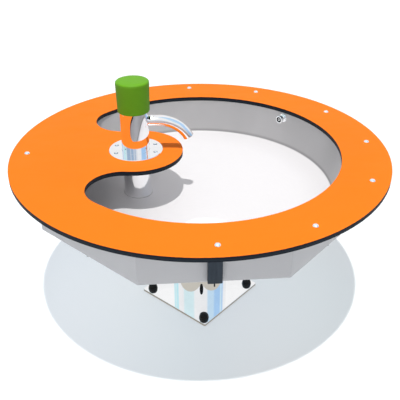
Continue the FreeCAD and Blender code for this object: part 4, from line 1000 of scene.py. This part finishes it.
def bowl():
    """The basin's sheet: the inside rows and the same rows moved out by its thickness."""
    columns, sheet = 216, 1.5
    grid = [bowl_rows(tau * k / columns) for k in range(columns)]
    rows = len(grid[0])
    verts = [tuple(p) for column in grid for p in column]
    for k in range(columns):
        column = []
        for j in range(rows):
            down = grid[k][min(j + 1, rows - 1)] - grid[k][max(j - 1, 0)]
            around = grid[(k + 1) % columns][j] - grid[k - 1][j]
            normal = around.cross(down).normalized()
            if normal.z > 0 or (j < 4 and normal.xy.dot(grid[k][j].xy) < 0):
                normal = -normal
            column.append(grid[k][j] + normal * sheet)
        column[0].z = COLLAR_BOTTOM
        for j in (-1, -2):
            column[j] = Vector((grid[k][j].x, grid[k][j].y, DRAIN_Z - sheet))
        verts += [tuple(p) for p in column]
    faces = []
    back = columns * rows           # first vertex of the outside
    for k in range(columns):
        a, b = k * rows, (k + 1) % columns * rows
        for j in range(rows - 1):
            faces.append((a + j, b + j, b + j + 1, a + j + 1))
            faces.append((back + a + j, back + a + j + 1, back + b + j + 1, back + b + j))
        faces.append((a, back + a, back + b, b))
        end = rows - 1
        faces.append((a + end, b + end, back + b + end, back + a + end))
    return verts, faces


basin = piece("basin_bowl", [bowl()], "satin_basin", smooth=26)
nozzle_hole = NOZZLE_DIR * (NOZZLE_R - 10) + Vector((0, 0, NOZZLE_Z))
boolean_cut(basin, [cylinder((POST_X, 0, 395), (0, 0, 1), 44.6, 60, 96),
                    cylinder(nozzle_hole, NOZZLE_DIR, 6.3, 20, 48)], smooth=26)


# ============================================================ welds
def bead(path, radius, closed=False, pitch=2.6, segs=10):
    """A laid weld: a small ribbed bar."""
    return rod(path, radius, segs, closed, lambda a, s: radius * 0.14 * sin(tau * s / pitch))


def ring_path(cx, radius, height, step=0.65):
    """A circle about (cx, 0) whose height is a function of x and y."""
    points = circle(cx, 0, radius, max(24, int(tau * radius / step)))
    return [(x, y, height(x, y)) for x, y in points]


def line_path(start, end, step=0.8):
    count = max(6, int(dist(start, end) / step))
    line = Vector(end) - Vector(start)
    return [tuple(Vector(start) + line * (k / count)) for k in range(count + 1)]


beads = [bead(ring_path(0, 97.6, lambda x, y: 350.9), 2.2, closed=True, pitch=3.2, segs=12)]
# both sides of the four support arms: along the arms, and up the inside of the skirt
for k in range(4):
    a = radians(45 + 90 * k)
    dx, dy = cos(a), sin(a)
    for side in (-1, 1):
        ox, oy = -dy * side * 3.6, dx * side * 3.6
        beads.append(bead(line_path((66 * dx + ox, 66 * dy + oy, 368.6),
                                    (124 * dx + ox, 124 * dy + oy, 368.6)), 2.4, pitch=3.0))
        skirt_x, skirt_y = 491.6 * dx + ox, 491.6 * dy + oy
        beads.append(bead(line_path((skirt_x, skirt_y, 424.0), (skirt_x, skirt_y, 515.0)), 1.5))
# stitches between the skirt's top edge and the collar
for k in range(8):
    a = radians(-90 + 45 * k)
    dx, dy = cos(a), sin(a)
    inside = SKIRT_APOTHEM - 2.6
    tangent = Vector((-dy, dx, 0))
    for offset in (-150, -90, -45, 45, 90, 150):
        middle = Vector((dx * inside, dy * inside, 557.0)) + tangent * offset
        half = tangent * 14
        beads.append(bead(line_path(tuple(middle - half), tuple(middle + half)), 1.5, pitch=2.4))
piece(None, beads, "weld_bead", name="weld_beads", smooth=60)
post_bead = bead(ring_path(POST_X, 45.2, lambda x, y: floor_z(x, y) + 0.5), 2.1, closed=True)
piece(None, [post_bead], "satin_basin", name="weld_post_foot", smooth=60)

# ============================================================ base plate, leg, anchor caps
PLATE_HALF, PLATE_TOP = 149.0, 8.0
square = rounded([(-PLATE_HALF, -PLATE_HALF), (PLATE_HALF, -PLATE_HALF),
                  (PLATE_HALF, PLATE_HALF), (-PLATE_HALF, PLATE_HALF)], 6.0, 6)
eighth_turn = Matrix.Rotation(radians(45), 2)
plate_loops = [[tuple(eighth_turn @ Vector(p)) for p in square], circle(0, 0, 62.0, 72, hole=True)]
plate_loops += [circle(x, y, 7.0, 32, hole=True) for x, y in ANCHORS]
plate = piece("base_plate", [slab(plate_loops, 0.0, PLATE_TOP, 0.5, 1.0, 4)], "polished_plate")
paint(plate, "plate_edge",
      lambda poly: abs(poly.normal.z) < 0.4 and poly.center.xy.length > 0.120)

# leg: tube drilled for the waste pipe (-Y), the supply hose (-X) and the nozzle hose
leg_outline = rounded([(LEG_R - 3.0, PLATE_TOP), (LEG_R, PLATE_TOP), (LEG_R, 352.0),
                       (LEG_R - 3.0, 352.0)], [0.0, 0.0, 0.3, 0.3], 2)
leg = piece("leg_tube", [lathe(leg_outline, 128)], "polished_steel")
boolean_cut(leg, [
    cylinder((0, -LEG_R - 20, 285.0), (0, 1, 0), 29.0, 40, 64),
    cylinder((-LEG_R - 20, 0, 300.0), (1, 0, 0), 12.0, 40, 48),
    cylinder(Vector((HOLE_X, HOLE_Y, HOLE_Z)) + HOSE_DIR * 25, -HOSE_DIR, 9.0, 50, 40)])

# anchor caps: a plain foot and a faceted dome; radius, height
ANCHOR_CAP = [
    (13.9, 8.0), (16.7, 8.0), (17.2, 8.5), (17.2, 11.4), (16.5, 12.6), (16.3, 16.4),
    (14.2, 22.0), (10.2, 25.6), (5.0, 26.9), (0.0, 27.0), (0.0, 25.2), (9.0, 23.4),
    (12.6, 20.4), (13.9, 16.0),
]


def anchor_cap(x, y, turn):
    """The cap with each of its quads split in two."""
    verts, faces = lathe(ANCHOR_CAP, 12, (x, y, 0), Matrix.Rotation(turn, 3, "Z"),
                         half_step_row=7)
    facets = []
    for face in faces:
        facets.append(face[:3])
        if len(face) == 4:
            facets.append((face[0], face[2], face[3]))
    return verts, facets


piece("anchor_caps", [anchor_cap(x, y, 0.35 + 0.4 * k) for k, (x, y) in enumerate(ANCHORS)],
      "cap_black", smooth=9)

# ============================================================ tap post and its flange
SPOUT_Z = 676.6
post_outline = rounded([(POST_R - 2.0, 410.0), (POST_R, 410.0), (POST_R, 740.0),
                        (POST_R - 2.0, 740.0)], 0.35, 3)
post = piece("post_tube", [lathe(post_outline, 144, POST_FOOT)], "polished_post")
boolean_cut(post, [cylinder((POST_X, 0, SPOUT_Z), (1, 0, 0), 15.2, 60, 64)])

# radius, height, corner radius
FLANGE = [(44.6, BOARD_TOP, 0), (86.0, BOARD_TOP, 0.1), (86.0, 579.8, 0.5), (84.8, 581.0, 0.5),
          (44.6, 581.0, 0.4)]
FLANGE_SCREW = [
    (0, 554.0, 0), (3.6, 554.0, 0), (4.0, 554.4, 0), (4.0, 578.6, 0), (6.55, 581.0, 0.3),
    (5.6, 581.65, 0.6), (3.6, 582.05, 0.6), (1.75, 582.1, 0.2), (1.7, 580.6, 0.1), (0, 580.2, 0),
]
# radius, height of a countersunk hole
COUNTERSINK = [(0, 570.0), (4.2, 570.0), (4.2, 578.55), (6.75, 581.05), (6.75, 590.0), (0, 590.0)]

flange = piece("post_flange", [lathe(softened(FLANGE, 4), 144, POST_FOOT)], "polished_steel")
boolean_cut(flange, [lathe(COUNTERSINK, 40, (x, y, 0)) for x, y in FLANGE_SCREWS])

screw_recess = hex_recess(1.6, 1.82, nominal=1.75, above=579.8)
screws = piece("flange_screws",
               [lathe(softened(FLANGE_SCREW), 48, (x, y, 0), Matrix.Rotation(0.3 * k, 3, "Z"),
                      screw_recess) for k, (x, y) in enumerate(FLANGE_SCREWS)],
               "bright_bolt", smooth=38)


def on_screw_edge(poly):
    centre = (poly.center.x / MM, poly.center.y / MM)
    return poly.center.z > 578.0 * MM and min(dist(centre, at) for at in FLANGE_SCREWS) > 3.9


# painted reflection: a blue-grey ring on each screw head's edge outlines the screws
paint(screws, "screw_edge", on_screw_edge)

# ============================================================ spout
# a straight root out of the post, one bend, softly rolled mouth
SPOUT_OUTER, SPOUT_INNER, SPOUT_SEGS = 16.85, 14.85, 72
BEND_X, BEND_R, BEND_DEGREES = POST_X + 72.5, 110.0, 62.0
SPOUT_SCREW_AT = Vector((POST_X + 47.4, 0, SPOUT_Z))
SPOUT_SCREW_DIR = Vector((0, -sqrt(0.5), sqrt(0.5)))


def saddle(station, radius):
    """The spout's root ring, following the post's round wall."""
    side, other = station[2:]
    out = []
    for k in range(SPOUT_SEGS):
        a = tau * k / SPOUT_SEGS
        arm = side * (radius * cos(a)) + other * (radius * sin(a))
        out.append((POST_X + sqrt(44.52 ** 2 - arm.y ** 2), arm.y, SPOUT_Z + arm.z))
    return out


def spout_shape():
    path = [Vector((BEND_X - 22 + 2 * k, 0, SPOUT_Z)) for k in range(11)]
    for k in range(53):
        a = radians(BEND_DEGREES * k / 52)
        path.append(Vector((BEND_X + BEND_R * sin(a), 0, SPOUT_Z - BEND_R + BEND_R * cos(a))))
    stations = frames(path)
    root, mouth = stations[0], stations[-1]
    rings = [saddle(root, SPOUT_INNER), saddle(root, SPOUT_OUTER)]
    rings += [ring(station, SPOUT_OUTER, SPOUT_SEGS) for station in stations[:-1]]
    # radius and distance along the spout of the mouth's rolled edge
    for radius, along in ((SPOUT_OUTER, -1.0), (SPOUT_OUTER - 0.25, -0.35),
                          (SPOUT_OUTER - 0.65, -0.05), (SPOUT_INNER + 0.75, -0.05),
                          (SPOUT_INNER + 0.2, -0.4), (SPOUT_INNER, -1.2)):
        rings.append(ring(mouth, radius, SPOUT_SEGS, along))
    rings += [ring(station, SPOUT_INNER, SPOUT_SEGS) for station in stations[-2::-1]]
    return skin(rings)


spout = piece("spout_tube", [spout_shape()], "polished_post", smooth=40)
boolean_cut(spout, [cylinder(SPOUT_SCREW_AT, SPOUT_SCREW_DIR, 4.1, 20, 40)], smooth=40)

# radius, height, corner radius
SET_SCREW = [
    (0, SPOUT_INNER, 0), (4.0, SPOUT_INNER, 0.1), (4.0, SPOUT_OUTER - 0.1, 0.1),
    (4.15, SPOUT_OUTER + 0.1, 0.3), (3.95, SPOUT_OUTER + 0.6, 0.2),
    (1.8, SPOUT_OUTER + 0.8, 0.1), (1.75, SPOUT_OUTER - 0.4, 0.05), (0, SPOUT_OUTER - 0.7, 0),
]
piece("spout_set_screw", [lathe(softened(SET_SCREW), 36, SPOUT_SCREW_AT,
                                axis_turn(SPOUT_SCREW_DIR), hex_recess(1.7, 1.86, nominal=1.8))],
      "matt_black")

# ============================================================ push cap and return spring
SPRING_BOTTOM, SPRING_TOP, SPRING_R, WIRE_R = 706.0, 778.0, 11.6, 1.5
SPRING_TURNS, STEPS_PER_TURN = 8, 40
# radius, height, corner radius
PUSH_CAP = [
    (46.0, 711.5, 0.5), (48.6, 711.5, 1.0), (50.0, 713.0, 1.0), (50.0, 790.0, 2.0),
    (50.0, 800.0, 2.5), (49.2, 805.2, 2.5), (46.2, 808.1, 3.0), (36.0, 809.4, 6.0),
    (18.0, 810.1, 6.0), (0.0, 810.3, 0), (0.0, 797.5, 0), (9.06, 797.5, 0.2),
    (9.06, SPRING_TOP, 0.5), (14.0, SPRING_TOP, 0.8), (14.0, 800.0, 2.0), (46.0, 800.0, 2.5),
]


def flare(angle, r, z):
    """The moulding widens a little from its rim to its top."""
    if r > 47.0:
        return r + 1.9 * (z - 712.0) / 92.0 - 0.2, z
    if r > 35.0 and z > 806.0:
        return r + 1.7, z
    return r, z


piece("push_cap", [lathe(softened(PUSH_CAP, 5), 160, POST_FOOT, shape=flare)], "green_cap",
      body=BUTTON, smooth=40)

# the return spring: a coil of wire about the post's axis, with a mesh of its own
coil = []
coil_bottom, coil_top = SPRING_BOTTOM + 1.55, SPRING_TOP - 1.55
coil_steps = SPRING_TURNS * STEPS_PER_TURN
for k in range(coil_steps + 1):
    t = k / coil_steps
    a = tau * SPRING_TURNS * t
    coil.append((POST_X + SPRING_R * cos(a), SPRING_R * sin(a),
                 coil_bottom + (coil_top - coil_bottom) * t))
spring = piece("return_spring", [rod(coil, WIRE_R, 14)], "spring_steel", smooth=60)
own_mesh(spring)


# ============================================================ hoses and waste pipe
def braid_wave(strands, pitch=26.0, depth=0.22):
    """Radius change of two crossing sets of strands."""
    def wobble(angle, length):
        around = strands * angle
        along = tau * length / pitch
        one, two = sin(around + along * strands / 2), sin(around - along * strands / 2)
        return depth * (max(one, two) - 1.0)
    return wobble


def hose(node, path, outer, inner, strands):
    obj = piece(node, [pipe(path, outer, inner, 48, 0.4, braid_wave(strands))], "hose_braid",
                smooth=60)
    mesh = obj.data
    uv = mesh.uv_layers.new(name="UVMap")
    for i, loop in enumerate(mesh.loops):
        place = mesh.vertices[loop.vertex_index].co
        uv.data[i].uv = (atan2(place.y, place.x) * 30.0, place.z * 300.0)


def under_elbow(distance, z):
    """A point on the nozzle hose's way from its elbow to the leg."""
    return ELBOW + HOSE_DIR * distance + Vector((0, 0, z))


supply = [(-36, 0, 26), (-36, 0, 300), (POST_X, 0, 300), (POST_X, 0, 587.5)]
hose("supply_hose", bent_path(supply, bend=40.0, step=1.6, degrees_step=2.4),
     outer=8.0, inner=5.6, strands=8)
feed = [under_elbow(0, 530), under_elbow(0, 395), under_elbow(HOSE_RUN - 62, 395),
        under_elbow(HOSE_RUN - 62, HOLE_Z), under_elbow(HOSE_RUN + 50, HOLE_Z),
        under_elbow(HOSE_RUN + 50, 34)]
hose("nozzle_hose", bent_path(feed, bend=25.0, step=1.6, degrees_step=3.0),
     outer=6.0, inner=4.08, strands=7)

waste = bent_path([(0, DRAIN_Y, 350), (0, DRAIN_Y, 285), (0, -25, 285), (0, -25, 20)],
                  bend=45.0, step=12.0, degrees_step=4.0)
piece("waste_pipe", [pipe(waste, 25.0, 23.2, 56, 0.5)], "waste_plastic", smooth=40)

# ============================================================ wall nozzle
# radius, distance outward from the basin's wall, corner radius
NOZZLE = [
    (3.0, -24.6, 0.6), (5.2, -24.6, 0.6), (5.2, -18.0, 0.8), (9.6, -18.0, 0.8),
    (9.6, -26.0, 1.0), (13.9, -26.0, 1.4), (13.9, -18.0, 1.0), (10.4, -15.4, 1.6),
    (10.4, -3.6, 1.2), (15.6, -3.2, 0.6), (16.6, -2.2, 0.5), (16.6, 1.6, 0.1),
    (6.0, 1.6, 0.1), (6.0, 15.5, 0.3), (3.0, 15.5, 0.1),
]


def wall_seat(angle, r, z):
    """The collar's back follows the basin's round wall."""
    if r > 5.9 and 1.0 < z < 1.7:
        side = r * sin(angle)
        back = sqrt(NOZZLE_R * NOZZLE_R - side * side) - NOZZLE_R
        return r, back - 0.02 + 0.1595 * r * cos(angle)
    return r, z


def in_shaded_nozzle_groove(poly):
    """Inside the ring-shaped groove at the nozzle's mouth, painted matt black as shade."""
    away = (poly.center - NOZZLE_AT * MM) / MM
    deep = away.dot(NOZZLE_DIR)
    return -25.6 < deep < -17.7 and 5.0 < (away - NOZZLE_DIR * deep).length < 9.8


nozzle = piece("wall_nozzle", [lathe(softened(NOZZLE, 4), 72, NOZZLE_AT, axis_turn(NOZZLE_DIR),
                                     wall_seat)], "bright_bolt", smooth=38)
nozzle.visible_shadow = False
# painted shade: the groove in the nozzle's mouth is matt black
paint(nozzle, "matt_black", in_shaded_nozzle_groove)

# ============================================================ pieces that keep their CAD shape
# node: bevel width
SOFT = {
    "ring_nuts": 0.5, "seam_screws": 0.25, "drain_body": 0.35, "drain_strainer": 0.3,
    "strainer_screw": 0.25, "drain_seal": 0.5, "drain_nut": 0.8, "waste_coupling": 0.7,
    "leg_top_flange": 0.9, "support_frame": 0.7, "hub_bolts": 0.6, "hub_nuts": 0.6,
    "hub_washers": 0.35, "anchor_washers": 0.35, "anchor_nuts": 0.6,
    "flange_backing_plate": 0.5, "valve_carrier": 0.5, "valve_body": 0.5, "valve_bonnet": 0.3,
    "inlet_fitting": 0.5, "valve_stem": 0.25, "poppet": 0.3, "poppet_seal": 0.4,
    "cap_insert": 0.2, "cap_guide_ring": 0.3, "spout_nipple": 0.2, "hose_ferrules": 0.5,
    "hose_nut": 0.5, "hose_grommet": 0.8, "waste_grommet": 0.9, "nozzle_washer": 0.4,
    "nozzle_nut": 0.4, "nozzle_elbow": 0.3, "nozzle_hose_nut": 0.5,
}
for node, width in SOFT.items():
    soften_node(node, width)
for node, obj in NODE.items():
    if not obj.hide_render:
        for slot in obj.material_slots:
            slot.material = MAT[SLOT_OF[node]]

# parts that the polished surfaces don't reflect
UNREFLECTED = ("support_frame", "leg_top_flange", "skirt_panel", "rim_flange", "hub_",
               "weld_beads", "waste_", "supply_hose", "nozzle_hose", "drain_", "seam_screws")
for obj in scene.objects:
    if obj.name.startswith(UNREFLECTED):
        obj.visible_glossy = False


# ============================================================ stage
def stage_object(name, mesh):
    obj = link_object(name, mesh)
    obj.data.materials.append(MAT[name])
    return obj


def floor_material():
    mat = material("studio_floor")
    place = mat.place()
    glossy = mat.node("LightPath").outputs["Is Glossy Ray"]
    grey = mat.mix(mat.span(mat.noise(scale=2.0, detail=2.0)),
                   (0.555, 0.560, 0.565), (0.565, 0.568, 0.572))
    # painted light: the floor glows to lighten the table's shadow, and its glow falls from -X to the
    # middle
    strength = mat.span(place["X"], to=(0.50, 0.375), over=(-0.5, 0.0))
    lit = mat.node("AddShader")
    mat.feed(lit.inputs[0], mat.node("BsdfDiffuse", Color=grey).outputs[0])
    mat.feed(lit.inputs[1], mat.emission((0.905, 0.955, 1.0), strength))
    # painted reflection: reflections see a blue-grey floor far out and a beige one under the table,
    # for the floor in the table's shade
    out = mat.from_axis(place)
    far = mat.times(glossy, mat.span(out, to=(0.0, 0.9), over=(0.95, 1.35)))
    under = mat.times(glossy, mat.span(out, to=(1.0, 0.0), over=(0.50, 0.53)))
    shader = mat.mix_shader(far, lit.outputs[0], mat.emission((0.50, 0.54, 0.60)))
    mat.show(mat.mix_shader(under, shader, mat.emission((0.60, 0.565, 0.50))))


FLOOR_HALF, FLOOR_LEVEL = 40.0, -0.0002
floor_material()
floor_mesh = bpy.data.meshes.new("studio_floor")
floor_mesh.from_pydata([(x * FLOOR_HALF, y * FLOOR_HALF, FLOOR_LEVEL)
                        for x, y in ((-1, -1), (1, -1), (1, 1), (-1, 1))], [], [(0, 1, 2, 3)])
stage_object("studio_floor", floor_mesh)


# the board's shadow, from a sheet inside it whose hole clears the basin's wall
def shade_mesh():
    margin, ease = 8.0, 0.25        # widening of the hole; radians over which it fades in
    hole = []
    for x, y in opening_loop():
        radius, angle = hypot(x, y), atan2(y, x)
        wide = 0.0
        if radius > OPENING_R - 0.5:
            wide = margin * min(1.0, max(0.0, (radians(OPENING_END) - abs(angle)) / ease))
        hole.append((x * (radius + wide) / radius, y * (radius + wide) / radius))
    bm = bmesh.new()
    edges = []
    for loop in (hole, circle(0, 0, BOARD_R, 256)):
        verts = [bm.verts.new((x * MM, y * MM, 0.570)) for x, y in loop]
        edges += [bm.edges.new((verts[k - 1], verts[k])) for k in range(len(verts))]
    bmesh.ops.triangle_fill(bm, use_beauty=True, edges=edges)
    mesh = bpy.data.meshes.new("board_shade")
    bm.to_mesh(mesh)
    bm.free()
    return mesh


mat = material("board_shade")
dark = mat.mix(mat.noise(scale=5.0), (0.02, 0.02, 0.02), (0.03, 0.03, 0.03))
mat.show(mat.node("BsdfDiffuse", Color=dark).outputs[0])
shade_sheet = stage_object("board_shade", shade_mesh())
shade_sheet.visible_camera = False
shade_sheet.visible_diffuse = False
shade_sheet.visible_glossy = False
shade_sheet.visible_transmission = False

# reflected surroundings: colours by compass direction, in degrees from +X
CYAN, PALE, BLUE = (0.55, 0.93, 1.0), (0.78, 0.97, 1.0), (0.46, 0.70, 1.0)
SKY, WHITE = (0.64, 0.84, 1.0), (1.0, 1.0, 1.0)
STEEL, MIST = (0.40, 0.53, 0.70), (0.74, 0.79, 0.86)
HIGH_BANDS = [
    (-180, WHITE), (-173, WHITE), (-166, PALE), (-124, PALE), (-117, WHITE), (-66, WHITE),
    (-58, SKY), (-34, SKY), (-26, BLUE), (2, BLUE), (10, PALE), (18, BLUE), (32, WHITE),
    (106, WHITE), (114, CYAN), (134, PALE), (152, CYAN), (160, WHITE), (180, WHITE),
]
LOW_BANDS = [
    (-180, PALE), (-176, PALE), (-168, STEEL), (-140, STEEL), (-134, MIST), (-128, STEEL),
    (-114, STEEL), (-104, MIST), (-96, STEEL), (-90, MIST), (-74, WHITE), (-50, WHITE),
    (-40, BLUE), (-6, BLUE), (12, WHITE), (90, WHITE), (106, WHITE), (130, BLUE),
    (146, WHITE), (156, CYAN), (180, PALE),
]


def under_glow_material():
    """Glows on the front of its faces and is clear on the back."""
    mat = material("under_glow")
    incoming = mat.xyz(mat.node("NewGeometry").outputs["Incoming"])
    azimuth = mat.math("ARCTAN2", mat.times(incoming["Y"], -1.0), mat.times(incoming["X"], -1.0))
    turn = mat.plus(mat.math("DIVIDE", azimuth, tau), 0.5)
    glow = mat.emission(mat.azimuth_ramp(turn, HIGH_BANDS), 0.97)
    backfacing = mat.node("NewGeometry").outputs["Backfacing"]
    mat.show(mat.mix_shader(backfacing, glow, mat.node("BsdfTransparent").outputs[0]))


def under_glow_mesh():
    """A level sheet facing down, from a small round hole out to the skirt's octagon."""
    count, height, apothem, hole_r = 48, 0.412, 0.4920, 0.10
    angles = [tau * k / count for k in range(count)]
    verts = []
    for a in angles:
        radius = apothem / cos((a + pi / 8) % (pi / 4) - pi / 8)
        verts.append((radius * cos(a), radius * sin(a), height))
    verts += [(hole_r * cos(a), hole_r * sin(a), height) for a in angles]
    faces = [(k, count + k, count + (k + 1) % count, (k + 1) % count) for k in range(count)]
    mesh = bpy.data.meshes.new("under_glow")
    mesh.from_pydata(verts, [], faces)
    return mesh


under_glow_material()
under = stage_object("under_glow", under_glow_mesh())
under.visible_camera = False
under.visible_shadow = False
under.visible_transmission = False


# ============================================================ light, world and camera
def aim(obj, direction):
    obj.rotation_euler = Vector(direction).to_track_quat("-Z", "Y").to_euler()
    scene.collection.objects.link(obj)


sun_data = bpy.data.lights.new("sun", "SUN")
sun_data.energy = 3.0
sun_data.angle = radians(1.2)
sun_data.color = (1.0, 0.985, 0.96)
aim(bpy.data.objects.new("sun", sun_data), (0.015, 0.25, -0.968))


def build_world(sky):
    """The camera sees white, reflections see coloured bands, all else an even pale light."""
    rays = sky.node("LightPath").outputs
    direction = sky.xyz(sky.coord.outputs["Generated"])
    azimuth = sky.math("ARCTAN2", direction["Y"], direction["X"])
    turn = sky.span(azimuth, over=(-pi, pi))
    bands = sky.mix(sky.span(direction["Z"], over=(0.45, 0.48)),
                    sky.azimuth_ramp(turn, LOW_BANDS), sky.azimuth_ramp(turn, HIGH_BANDS))
    # darker towards the horizon
    bands = sky.dim(bands, sky.span(direction["Z"], to=(0.62, 1.0), over=(0.02, 0.30)))

    def background(color, strength):
        return sky.node("Background", Color=color, Strength=strength).outputs[0]

    unseen = sky.mix_shader(rays["Is Glossy Ray"], background((0.93, 0.965, 1.0), 0.50),
                            background(bands, 0.95))
    sky.show(sky.mix_shader(rays["Is Camera Ray"], unseen, background(WHITE, 1.0)))


world = bpy.data.worlds.new("studio")
scene.world = world
build_world(Nodes(world, "OutputWorld"))

cam_data = bpy.data.cameras.new("camera")
cam_data.sensor_width = 36.0
cam_data.sensor_fit = "HORIZONTAL"
cam_data.lens = 53.83
cam_data.clip_end = 200.0
cam = bpy.data.objects.new("camera", cam_data)
cam.location = (-0.1376, -1.7440, 1.4198)
aim(cam, (0.0676, 0.8568, -0.5112))
scene.camera = cam

bpy.context.view_layer.update()
